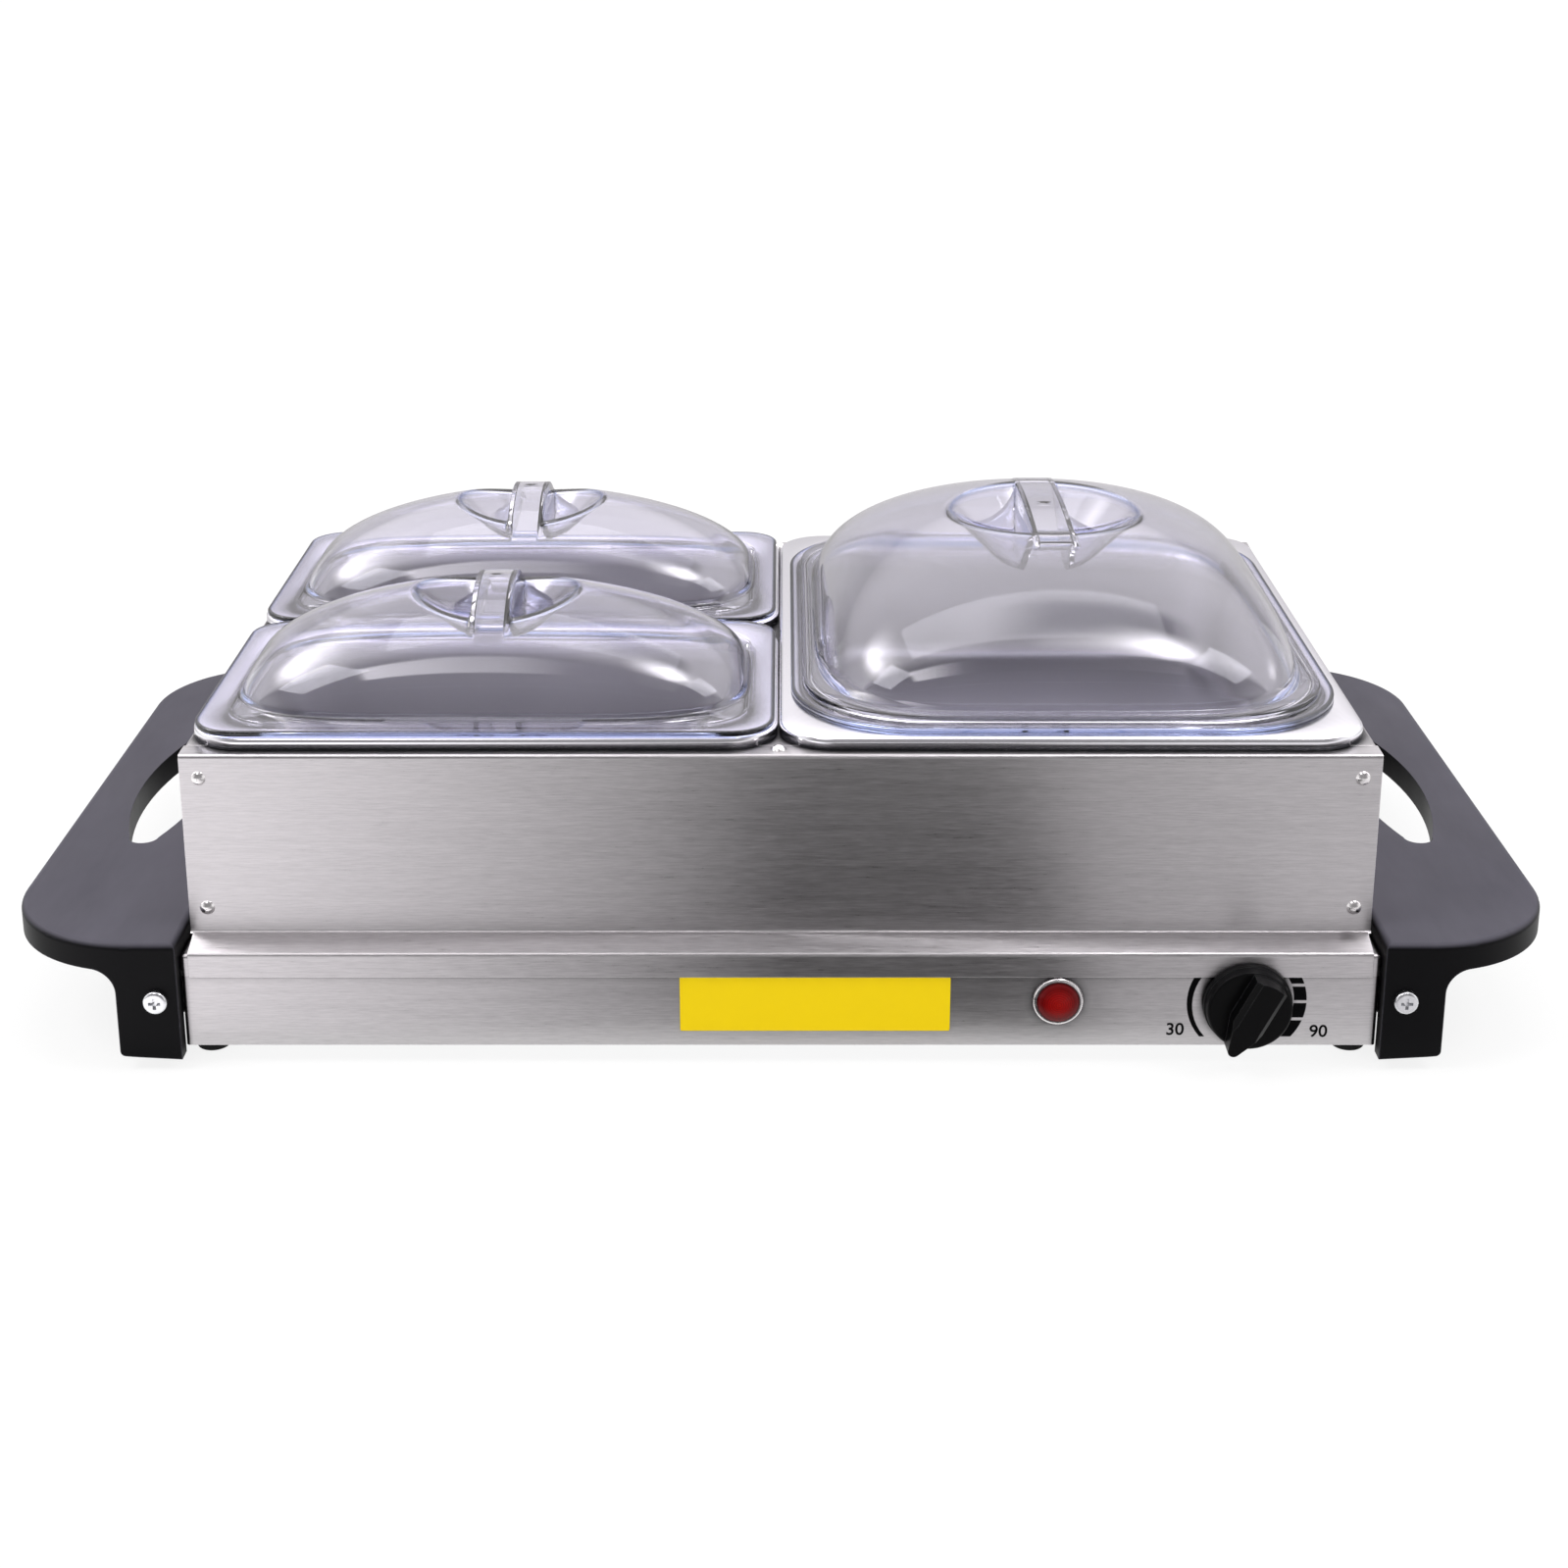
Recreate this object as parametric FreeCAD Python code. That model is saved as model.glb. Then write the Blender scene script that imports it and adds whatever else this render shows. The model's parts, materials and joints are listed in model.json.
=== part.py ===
import FreeCAD, Part
import math
import os

V = FreeCAD.Vector

# Table-top food warmer: a low heated base with two carrying handles, a lift-off frame, one large and
# two small pans that hang in the frame, and a clear lift-off lid on each pan.
# Millimetres. The floor is z = 0, the controls face -y, and +x is to the right of the controls.

# ---- heated base -------------------------------------------------------------------------------
base_side_ledge = 2.5        # base beyond the frame on each side
base_end_ledge = 13.5        # and in front and behind
base_height = 44.5
base_sheet = 0.8
bend_inside = 1.0            # inside radius of every sheet-metal fold
flange_width = 14.0          # return flange round the underside
bottom_sheet = 0.8
plate_clearance = 0.5        # bottom plate to the side walls
vent_length = 60.0
vent_width = 4.0
vent_pitch = 12.0
vents_per_bank = 5
vent_bank_x = 110.0          # middle of each bank of slots, left and right
panel_hole_clearance = 0.3   # round what passes through a wall of the base

# ---- feet --------------------------------------------------------------------------------------
foot_height = 9.0
foot_top_radius = 8.2
foot_bottom_radius = 7.6
foot_edge = 1.2
foot_inset_x = 8.25          # from the base's side to the foot's axis
foot_inset_y = 18.4
foot_recess_radius = 4.8
foot_recess_depth = 4.5

# ---- screws, nuts and rivets -------------------------------------------------------------------
screw_radius = 2.0
screw_hole_clearance = 0.25
screw_head_radius = 4.0
screw_head_height = 2.2
screw_recess = 1.8           # half length of the cross recess
screw_crown_share = 0.55     # rounded part of a head's height
screw_recess_share = 0.6     # depth of the recess in a head's height
screw_arm_share = 0.28       # width of the cross's arms in their length
screw_tip = 1.5              # shank beyond the last thing it passes
plate_screw_length = 7.0
snug = 0.05                  # clearance round a thread or rivet in the hole that it fills
nut_across_flats = 7.0
nut_height = 3.0
rivet_radius = 1.6
rivet_head_radius = 3.4
rivet_head_height = 1.9
rivet_tail_radius = 2.6
rivet_tail_height = 0.9

# ---- handles -----------------------------------------------------------------------------------
handle_reach = 84.5          # out from the base's side
handle_overhang = 7.0        # beyond the base in front and behind
handle_gap = 0.25            # handle to the base's side
handle_thickness = 13.0      # rim of the wing
handle_above_base = 8.4      # wing's top over the base's top
handle_wall = 3.0
handle_corner = 64.0
handle_edge = 3.0            # rounding of the wing's upper edge
leg_width = 28.0
leg_length = 48.0            # front to back
leg_blend = 11.0             # hollow rounding between leg and wing
leg_lift = 5.4               # leg's lower end above the floor, beside the base
leg_slant = 1.6              # how much higher its outer corner is
leg_toe = 2.4                # rounding of that corner
leg_return = 1.0             # leg's inner wall reaches this far behind the base's front
hand_hole_half_length = 75.0
hand_hole_end_radius = 7.0
hand_hole_inner = 26.0       # from the handle's inner side to the hole's near bulge
hand_hole_outer = 61.0       # the same to its far bulge
hand_hole_end = 43.5         # the same to the centres of its rounded ends
handle_rib = 2.0             # stiffening ribs under the wing, between hole and legs
handle_rib_margin = 2.0
handle_screw_in = 10.0       # screw axis from the handle's inner side
handle_screw_z = 34.5
handle_screw_radius = 2.5
handle_screw_head_radius = 5.6
handle_screw_head_height = 3.2
handle_screw_recess = 2.7
handle_boss_radius = 5.5     # boss from the leg's end wall back to the bracket
bracket_sheet = 1.6
bracket_width = 20.0
bracket_reach = 20.0
bracket_flange = 26.0
bracket_gap = 0.2            # bracket's ear to the boss
bracket_setback = 2.0        # ear's face behind the base's front
bracket_rivet_inset = 8.0    # from the end of the bracket's flange
bracket_rivet_pitch = 12.0

# ---- knob and thermostat -----------------------------------------------------------------------
knob_from_side = 59.45       # knob's axis from the base's right side
knob_z = 30.7
knob_radius = 20.0
knob_skirt = 3.0
knob_skirt_edge = 1.0
knob_gap = 1.8               # knob's back face to the control panel
knob_body_radius = 19.0
knob_body_draft = 0.5        # how much wider the body is at its root
knob_body_height = 8.0
knob_front_edge = 1.5
knob_grip_width = 15.0
knob_grip_height = 17.5      # over the knob's back face
knob_grip_inset = 0.8        # grip's round end in from the body's edge
knob_grip_chamfer = 2.2
knob_shoulder = 5.0          # from the axis to where the grip starts to narrow
knob_tip_reach = 20.5        # from the axis to the pointer's tip
knob_tip_radius = 2.6
knob_tip_drop = 2.0          # how far the grip slopes down towards the tip
knob_rest_angle = 27.0       # pointer at rest, from straight down towards the left
spindle_radius = 3.0
spindle_flat = 1.0           # depth of the flat on the shaft
spindle_clearance = 0.05
spindle_in_knob = 11.0
spindle_in_case = 12.0
spindle_end_gap = 0.5
thermostat_width = 38.0
thermostat_height = 27.0
thermostat_length = 24.0
thermostat_edge = 2.0
thermostat_screw_length = 5.0
thermostat_screw_head_radius = 3.2
thermostat_screw_head_height = 1.5
thermostat_screw_relief = 4.0
thermostat_tab_pitch = 22.0
thermostat_bushing_radius = 5.0
thermostat_bushing_length = 3.0
thermostat_plate_width = 46.0
thermostat_plate_height = 24.0
thermostat_plate = 1.5
thermostat_screw_spacing = 28.0
tab_width = 6.3              # push-on terminal tabs
tab_thickness = 0.8
tab_length = 8.0

# ---- indicator ---------------------------------------------------------------------------------
indicator_x = 125.0
indicator_z = 31.5
bezel_radius = 11.4
bezel_height = 2.4
bezel_barrel_radius = 9.4
bezel_barrel_length = 14.0
bezel_wall = 1.2
lens_radius = 9.8
lens_rise = 3.0
lens_seat = 0.8              # lens's shoulder in front of the panel
lens_stem_clearance = 0.1
lens_stem_length = 4.0
bezel_edge = 1.2
lamp_radius = 3.0
lamp_length = 6.0
lamp_holder = 3.0            # thickness of the lamp's holder
lamp_tab_width = 2.8
lamp_tab_pitch = 8.0
indicator_nut_radius = 12.0
indicator_nut_height = 3.0

# ---- cord inlet --------------------------------------------------------------------------------
gland_from_side = 64.75
gland_z = 29.0
gland_bore_radius = 4.2
gland_thread_radius = 7.6
gland_flange_radius = 11.0
gland_flange_height = 5.0
gland_dome_radius = 9.5
gland_dome_height = 14.3
gland_dome_edge = 3.5
gland_nut_across_flats = 20.0
gland_nut_height = 4.0
gland_thread_tail = 3.0      # thread beyond the nut

# ---- heating -----------------------------------------------------------------------------------
element_radius = 3.25
element_gap = 0.3            # tube to the hot plate
element_runs = 4
element_pitch = 60.0
element_left = -195.0
element_lead_out = 22.0      # cold end beyond the last straight run
cold_end_inset = 11.0        # cold ends in from the reflector's edge
clamp_count = 3
clamp_pitch = 130.0
clamp_width = 14.0
clamp_sheet = 1.0
clamp_post = 8.0
clamp_gap = 0.1
reflector_sheet = 0.5
reflector_width = 396.0
reflector_depth = 262.0
reflector_height = 24.0      # over the bottom plate
standoff_radius = 4.0
standoff_inset = 14.0
standoff_stud = 2.0          # threaded end below the bottom plate
standoff_tip = 2.5           # and above the reflector
fuse_radius = 2.2
fuse_length = 14.0
fuse_clip_sheet = 0.8
fuse_clip_width = 8.0
fuse_clip_length = 18.0
terminal_width = 44.0
terminal_depth = 17.0
terminal_height = 15.0
terminal_ways = 3
terminal_hole_radius = 2.0
terminal_hole_depth = 8.0
terminal_stud = 1.5          # threaded end below the bottom plate
terminal_from_rear = 34.0
terminal_x = 150.0
earth_stud_from_side = 29.75
earth_stud_length = 16.0
earth_washer_radius = 5.0
earth_washer = 1.0
earth_wire_gap = 3.0         # room for a ring terminal under the washer
lead_radius = 1.2
lead_bend = 8.0
lead_stub = 2.0              # straight end of a lead at its tab
lead_spacing = 14.0
lead_entry_pitch = 8.0       # between the leads at the terminal block's side
lead_clearance = 6.0         # from the reflector's edge
lead_floor_gap = 2.0         # leads over the bottom plate

# ---- pan frame ---------------------------------------------------------------------------------
frame_side_margin = 2.0      # frame's side beyond the pan rims
frame_end_margin = 6.0
frame_height = 90.9          # over the base's top
frame_sheet = 0.8
frame_top_flange = 12.0
frame_foot_flange = 12.0
frame_tab = 16.0             # side panels' tabs behind the front and rear panels
ledge_back_rise = 5.7        # back of the sloping ledge over the base's top
ledge_front_rise = 1.0
skirt_drop = 10.3            # skirt's lower edge below the base's top
skirt_gap = 0.3
skirt_inset = 1.25           # skirt's ends in from the panel's
ledge_trim = 0.5             # where the panel narrows, below the top of the ledge
panel_rivet_inset = 8.2
panel_rivet_low = 17.3       # over the base's top
panel_rivet_high = 79.8
bar_width = 22.0
bar_height = 12.0
bar_tongue = 9.0
bar_rivet_inset = 8.0        # from the panel's face
divider_width = 20.0
divider_height = 10.0
divider_tongue = 10.0
tongue_inset = 3.0           # tongue's sides in from the bar's
tongue_overlap = 2.0         # tongue inside the bar's end
bar_clearance = 0.2          # ends of the bars, and the notches at the frame's corners
pan_line_offset = 1.0        # line between small and large pans, left of the middle

# ---- pans --------------------------------------------------------------------------------------
pan_sheet = 0.8
pan_rim_height = 5.7         # rolled rim
pan_rim_edge = 2.2           # rounding of the rim's upper edge
pan_depth = 65.0
pan_gap = 0.5                # between neighbouring rims
pan_rim_corner = 25.0
pan_rim_width = 13.0
pan_step_depth = 10.0        # stacking shoulder
pan_step_drop = 3.0
pan_step_width = 3.0
pan_draft = 5.0
pan_floor_radius = 10.0
large_pan_width = 265.0
large_pan_depth = 325.0
large_pan_corner = 48.0      # corner of the opening
small_pan_width = 265.0
small_pan_depth = 162.0
small_pan_corner = 34.0

# ---- lids --------------------------------------------------------------------------------------
lid_wall = 2.2
lid_flange = 2.5
lid_edge = 0.9
lid_rib_depth = 3.5
lid_rib_width = 1.8
lid_rib_clearance = 1.0      # rib to the pan's opening
lid_sections = 6
lid_points = 24              # points on each outline
lid_top_share = 0.8          # last section of the dome's loft, in the grip's radius
arch_points = 13             # points on the back of the grip's bar
arch_run_out = 4.0           # bar's foot sunk in the dome's wall, in front and behind
bar_proud = 2.0
gate_radius = 2.2
gate_depth = 0.5
small_lid_inset_x = 1.5      # lid's edge in from the pan's
small_lid_inset_y = 1.0
small_lid_corner = 20.0
small_dome_margin_x = 13.0   # lid's edge to the dome's foot
small_dome_margin_y = 17.0
small_dome_height = 46.8
small_dome_profile = 1.75    # exponent of the dome's profile: 2 is an ellipse, less is leaner
small_dome_squareness = 4.2  # exponent of the dome's outline at its foot
small_grip_radius = 39.5
small_grip_floor_radius = 16.0
small_grip_depth = 24.4
small_bar_width = 18.7
small_bar_end = 41.0
large_lid_inset = 5.5
large_lid_corner = 60.0
large_dome_margin_x = 12.0
large_dome_margin_y = 13.5
large_dome_height = 63.5
large_dome_profile = 2.0
large_dome_squareness = 4.8
large_grip_radius = 48.0
large_grip_floor_radius = 18.0
large_grip_depth = 33.0
large_bar_width = 21.0
large_bar_end = 56.0
large_lid_step = 3.2         # raised bead round the large dome
large_lid_step_margin = 6.0

# ---- worked out from the sizes above -------------------------------------------------------------
frame_width = large_pan_width + pan_gap + small_pan_width + 2 * frame_side_margin
frame_depth = large_pan_depth + 2 * frame_end_margin
skirt_width = frame_width - 2 * skirt_inset
base_width = frame_width + 2 * base_side_ledge
base_depth = frame_depth + 2 * base_end_ledge
handle_depth = base_depth + 2 * handle_overhang
base_bottom = foot_height
base_top = base_bottom + base_height
base_front = -base_depth / 2
base_rear = base_depth / 2
base_side = base_width / 2
knob_x = base_side - knob_from_side
gland_x = base_side - gland_from_side
earth_stud_x = base_side - earth_stud_from_side
pan_line_x = (small_pan_width - large_pan_width) / 2 - pan_line_offset
plate_top = base_bottom + bottom_sheet
hot_plate_under = base_top - base_sheet
frame_top = base_top + frame_height
rim_top = frame_top + pan_rim_height
element_z = hot_plate_under - element_gap - element_radius
bend_outside = bend_inside + base_sheet
screw_hole_radius = screw_radius + screw_hole_clearance
slack = 1.0                  # how far a cutting tool passes a face
least_run = 0.01             # shortest straight left between two rounded corners
near_enough = 1e-3           # lengths that differ by less are the same

UP = V(0, 0, 1)
DOWN = V(0, 0, -1)
FORWARD = V(0, -1, 0)
BACK = V(0, 1, 0)
RIGHT = V(1, 0, 0)
LEFT = V(-1, 0, 0)
SIDES = (-1, 1)


# ---- helpers -----------------------------------------------------------------------------------
def box(x0, x1, y0, y1, z0, z1):
    return Part.makeBox(x1 - x0, y1 - y0, z1 - z0, V(x0, y0, z0))


def rod(radius, length, start, direction):
    return Part.makeCylinder(radius, length, start, direction)


def fuse(shapes):
    joined = shapes[0]
    if len(shapes) > 1:
        joined = joined.multiFuse(shapes[1:])
    return joined.removeSplitter()


def rounded_rectangle(width, depth, radius, z):
    """Closed wire, centred on the z axis, with an arc at each corner."""
    a, b = width / 2, depth / 2
    r = min(radius, a - least_run, b - least_run)
    s = r * (1 - math.sqrt(0.5))
    corners = [(a, b, -1, -1), (-a, b, 1, -1), (-a, -b, 1, 1), (a, -b, -1, 1)]
    edges = []
    for i, (x, y, u, v) in enumerate(corners):
        beside = V(x, y + v * r, z)
        above = V(x + u * r, y, z)
        middle = V(x + u * s, y + v * s, z)
        start, end = (beside, above) if i % 2 == 0 else (above, beside)
        edges.append(Part.Arc(start, middle, end).toShape())
        nx, ny, nu, nv = corners[(i + 1) % 4]
        following = V(nx + nu * r, ny, z) if i % 2 == 0 else V(nx, ny + nv * r, z)
        edges.append(Part.LineSegment(end, following).toShape())
    return Part.Wire(edges)


def prism(wire, height):
    return Part.Face(wire).extrude(V(0, 0, height))


def same(a, b):
    return abs(a - b) < near_enough


def edges_at(shape, z):
    """Edges that lie flat at one height."""
    return [e for e in shape.Edges if same(e.BoundBox.ZMin, z) and same(e.BoundBox.ZMax, z)]


def folded_sheet(path, sheet, place, run):
    """A sheet folded along a path of (u, v) points, thickened to the path's left, run along a vector."""
    def unit(p, q):
        length = math.hypot(q[0] - p[0], q[1] - p[1])
        return ((q[0] - p[0]) / length, (q[1] - p[1]) / length)

    def along(p, d, t):
        return (p[0] + d[0] * t, p[1] + d[1] * t)

    ways = [unit(path[i], path[i + 1]) for i in range(len(path) - 1)]
    lefts = [(-d[1], d[0]) for d in ways]
    near, far = [path[0]], [along(path[0], lefts[0], sheet)]
    for i in range(1, len(path) - 1):
        before, after, corner = ways[i - 1], ways[i], path[i]
        turn = math.atan2(before[0] * after[1] - before[1] * after[0],
                          before[0] * after[0] + before[1] * after[1])
        near_radius = bend_inside + (sheet if turn > 0 else 0)
        far_radius = bend_inside + (0 if turn > 0 else sheet)
        reach = near_radius * math.tan(abs(turn) / 2)
        start, end = along(corner, before, -reach), along(corner, after, reach)
        centre = along(start, lefts[i - 1], math.copysign(near_radius, turn))
        inward = unit(centre, corner)
        near += [start, along(centre, inward, near_radius), end]
        far += [along(start, lefts[i - 1], sheet), along(centre, inward, far_radius),
                along(end, lefts[i], sheet)]
    near.append(path[-1])
    far.append(along(path[-1], lefts[-1], sheet))

    def chain(points):
        edges = [Part.LineSegment(place(*points[0]), place(*points[1])).toShape()]
        for i in range(1, len(points) - 1, 3):
            a, b, c, d = (place(*p) for p in points[i:i + 4])
            edges += [Part.Arc(a, b, c).toShape(), Part.LineSegment(c, d).toShape()]
        return edges

    first = Part.LineSegment(place(*far[0]), place(*near[0])).toShape()
    last = Part.LineSegment(place(*near[-1]), place(*far[-1])).toShape()
    outline = Part.Wire([first] + chain(near) + [last] + chain(far[::-1]))
    return Part.Face(outline).extrude(run)


def hexagon(across_flats, height, start, direction, hole_radius):
    """Nut: a hexagonal prism with a plain hole."""
    corner_radius = across_flats / math.sqrt(3)
    points = [V(corner_radius * math.cos(math.radians(60 * i)),
                corner_radius * math.sin(math.radians(60 * i)), 0) for i in range(7)]
    nut = Part.Face(Part.makePolygon(points)).extrude(V(0, 0, height))
    nut = nut.cut(rod(hole_radius, height, V(0, 0, 0), UP))
    nut.Placement = FreeCAD.Placement(start, FreeCAD.Rotation(UP, direction))
    return nut


def pan_head_screw(seat, direction, radius, length, head_radius, head_height, recess):
    """The head's under face is at seat, and the shank runs on along direction."""
    head = Part.makeCylinder(head_radius, head_height, V(0, 0, -head_height), UP)
    head = head.makeFillet(head_height * screw_crown_share, edges_at(head, -head_height))
    arm = recess * screw_arm_share
    for half_width, half_height in ((arm, recess), (recess, arm)):
        head = head.cut(box(-half_width, half_width, -half_height, half_height,
                            -head_height - slack, -head_height * (1 - screw_recess_share)))
    screw = head.fuse(rod(radius, length, V(0, 0, 0), UP)).removeSplitter()
    screw.Placement = FreeCAD.Placement(seat, FreeCAD.Rotation(UP, direction))
    return screw


def dome_cap(radius, rise):
    """Slice of a ball: flat on z = 0, bulging upwards."""
    ball = (radius ** 2 + rise ** 2) / (2 * rise)
    half = math.asin(radius / ball) / 2
    middle = V(ball * math.sin(half), 0, rise - ball * (1 - math.cos(half)))
    rim, top, centre = V(radius, 0, 0), V(0, 0, rise), V(0, 0, 0)
    outline = Part.Wire([Part.LineSegment(centre, rim).toShape(), Part.Arc(rim, middle, top).toShape(),
                         Part.LineSegment(top, centre).toShape()])
    return Part.Face(outline).revolve(centre, UP, 360)


def rivet(face, direction, grip):
    """Domed head outside the face, shank through the sheets, and a flat tail behind them."""
    dome = dome_cap(rivet_head_radius, rivet_head_height)
    dome.rotate(V(0, 0, 0), RIGHT, 180)
    shank = rod(rivet_radius, grip, V(0, 0, 0), UP)
    tail = rod(rivet_tail_radius, rivet_tail_height, V(0, 0, grip), UP)
    body = fuse([dome, shank, tail])
    body.Placement = FreeCAD.Placement(face, FreeCAD.Rotation(UP, direction))
    return body


def drilled(shape, centres, direction, radius, length):
    """Holes of one size, each centred lengthwise on its point."""
    for centre in centres:
        start = centre - direction * (length / 2)
        shape = shape.cut(rod(radius, length, start, direction))
    return shape


def tube_along(points, radius, bend):
    """A round rod along a route of straight runs joined by tangent arcs."""
    edges = []
    position = points[0]
    for i in range(1, len(points) - 1):
        before = (points[i] - points[i - 1]).normalize()
        after = (points[i + 1] - points[i]).normalize()
        half = before.getAngle(after) / 2
        reach = bend * math.tan(half)
        start, end = points[i] - before * reach, points[i] + after * reach
        towards = (after - before).normalize()
        centre = points[i] + towards * (bend / math.cos(half))
        edges.append(Part.LineSegment(position, start).toShape())
        edges.append(Part.Arc(start, centre - towards * bend, end).toShape())
        position = end
    edges.append(Part.LineSegment(position, points[-1]).toShape())
    route = Part.Wire(edges)
    ring = Part.Wire([Part.makeCircle(radius, points[0], points[1] - points[0])])
    return route.makePipeShell([ring], True, False)


def save(name, shape):
    shape.exportStep("parts/" + name + ".step")


# ---- base ----------------------------------------------------------------------------------------
foot_centres = [V(sx * (base_side - foot_inset_x), sy * (base_rear - foot_inset_y), 0)
                for sx in SIDES for sy in SIDES]
plate_screw_spots = [V(x, sy * (base_rear - base_sheet - flange_width / 2), 0)
                     for x in (-base_side / 2, 0.0, base_side / 2) for sy in SIDES]
handle_inner = base_side + handle_gap
handle_screw_x = handle_inner + handle_screw_in
handle_end = handle_depth / 2
ear_outside = base_rear - bracket_setback
handle_screw_length = handle_end - ear_outside + bracket_sheet + screw_tip
bracket_rivet_y = ear_outside - bracket_flange + bracket_rivet_inset
bracket_rivet_zs = (handle_screw_z - bracket_rivet_pitch / 2, handle_screw_z + bracket_rivet_pitch / 2)
thermostat_screw_spots = [V(knob_x + s * thermostat_screw_spacing / 2, 0, knob_z) for s in SIDES]


def at(point, y):
    return V(point.x, y, point.z)


def make_base_housing():
    """Folded steel box, open below, with a return flange round its lower edge."""
    outside = box(-base_side, base_side, base_front, base_rear, base_bottom, base_top)
    rounded = [e for e in outside.Edges if same(e.BoundBox.ZMax, base_top)]
    outside = outside.makeFillet(bend_outside, rounded)
    inner_x, inner_y = base_side - base_sheet, base_rear - base_sheet
    inside = box(-inner_x, inner_x, -inner_y, inner_y, base_bottom - slack, hot_plate_under)
    rounded = [e for e in inside.Edges if same(e.BoundBox.ZMax, hot_plate_under)]
    inside = inside.makeFillet(bend_inside, rounded)
    flange = box(-inner_x, inner_x, -inner_y, inner_y, plate_top, plate_top + base_sheet)
    opening_x, opening_y = inner_x - flange_width, inner_y - flange_width
    flange = flange.cut(box(-opening_x, opening_x, -opening_y, opening_y, base_bottom, base_top))
    housing = fuse([outside.cut(inside), flange])
    through = base_sheet * 4
    housing = drilled(housing, [V(indicator_x, base_front, indicator_z)], BACK,
                      bezel_barrel_radius + panel_hole_clearance, through)
    housing = drilled(housing, [V(knob_x, base_front, knob_z)], BACK,
                      thermostat_bushing_radius + panel_hole_clearance, through)
    housing = drilled(housing, [at(p, base_front) for p in thermostat_screw_spots], BACK,
                      screw_hole_radius, through)
    housing = drilled(housing, [V(gland_x, base_rear, gland_z)], BACK,
                      gland_thread_radius + panel_hole_clearance, through)
    housing = drilled(housing, [p + UP * plate_top for p in foot_centres + plate_screw_spots], UP,
                      screw_hole_radius, through)
    bracket_rivets = [V(sx * base_side, sy * bracket_rivet_y, z)
                      for sx in SIDES for sy in SIDES for z in bracket_rivet_zs]
    return drilled(housing, bracket_rivets, RIGHT, rivet_radius, through)


def make_bottom_plate():
    """Flat cover with two banks of vent slots."""
    edge_x = base_side - base_sheet - plate_clearance
    edge_y = base_rear - base_sheet - plate_clearance
    plate = box(-edge_x, edge_x, -edge_y, edge_y, base_bottom, plate_top)
    slots = []
    for bank in SIDES:
        for i in range(vents_per_bank):
            y = (i - (vents_per_bank - 1) / 2) * vent_pitch
            slot = prism(rounded_rectangle(vent_length, vent_width, vent_width / 2, 0),
                         bottom_sheet + 2 * slack)
            slot.translate(V(bank * vent_bank_x, y, base_bottom - slack))
            slots.append(slot)
    plate = plate.cut(Part.makeCompound(slots))
    through = bottom_sheet * 4
    screws = foot_centres + plate_screw_spots + standoff_centres + terminal_screw_spots
    return drilled(plate, [p + UP * base_bottom for p in screws], UP, screw_hole_radius, through)


def make_foot():
    foot = Part.makeCone(foot_bottom_radius, foot_top_radius, foot_height)
    foot = foot.makeFillet(foot_edge, edges_at(foot, 0))
    foot = foot.cut(rod(foot_recess_radius, foot_recess_depth + slack, V(0, 0, -slack), UP))
    return foot.cut(rod(screw_hole_radius, foot_height + slack, V(0, 0, 0), UP))


foot_screw_length = foot_height - foot_recess_depth + bottom_sheet + base_sheet + nut_height + screw_tip


def make_foot_screws():
    return Part.makeCompound([
        pan_head_screw(c + UP * foot_recess_depth, UP, screw_radius, foot_screw_length,
                       screw_head_radius, screw_head_height, screw_recess) for c in foot_centres])


def make_foot_nuts():
    on_flange = plate_top + base_sheet
    return Part.makeCompound([
        hexagon(nut_across_flats, nut_height, c + UP * on_flange, UP, screw_radius + snug)
        for c in foot_centres])


def make_plate_screws():
    """Self-tapping screws that hold the bottom plate to the flange."""
    return Part.makeCompound([
        pan_head_screw(p + UP * base_bottom, UP, screw_radius, plate_screw_length, screw_head_radius,
                       screw_head_height, screw_recess) for p in plate_screw_spots])


# ---- handles ---------------------------------------------------------------------------------------
wing_top = base_top + handle_above_base
wing_under = wing_top - handle_thickness


def wing_outline(margin, z):
    """Plan outline of the right handle, drawn in by a margin."""
    x0, x1 = handle_inner + margin, base_side + handle_reach - margin
    y = handle_end - margin
    r = handle_corner - margin
    s = r * (1 - math.sqrt(0.5))
    corners = [V(x0, -y, z), V(x1 - r, -y, z), V(x1, -y + r, z), V(x1, y - r, z), V(x1 - r, y, z),
               V(x0, y, z)]
    return Part.Wire([
        Part.LineSegment(corners[0], corners[1]).toShape(),
        Part.Arc(corners[1], V(x1 - s, -y + s, z), corners[2]).toShape(),
        Part.LineSegment(corners[2], corners[3]).toShape(),
        Part.Arc(corners[3], V(x1 - s, y - s, z), corners[4]).toShape(),
        Part.LineSegment(corners[4], corners[5]).toShape(),
        Part.LineSegment(corners[5], corners[0]).toShape()])


def hand_hole_outline(margin, z):
    """Lens-shaped grip hole, widened by a margin."""
    r = hand_hole_end_radius + margin
    x = handle_inner + hand_hole_end
    y = hand_hole_half_length - hand_hole_end_radius
    near = handle_inner + hand_hole_inner - margin
    far = handle_inner + hand_hole_outer + margin
    return Part.Wire([
        Part.Arc(V(x + r, -y, z), V(far, 0, z), V(x + r, y, z)).toShape(),
        Part.Arc(V(x + r, y, z), V(x, y + r, z), V(x - r, y, z)).toShape(),
        Part.Arc(V(x - r, y, z), V(near, 0, z), V(x - r, -y, z)).toShape(),
        Part.Arc(V(x - r, -y, z), V(x, -y - r, z), V(x + r, -y, z)).toShape()])


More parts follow.
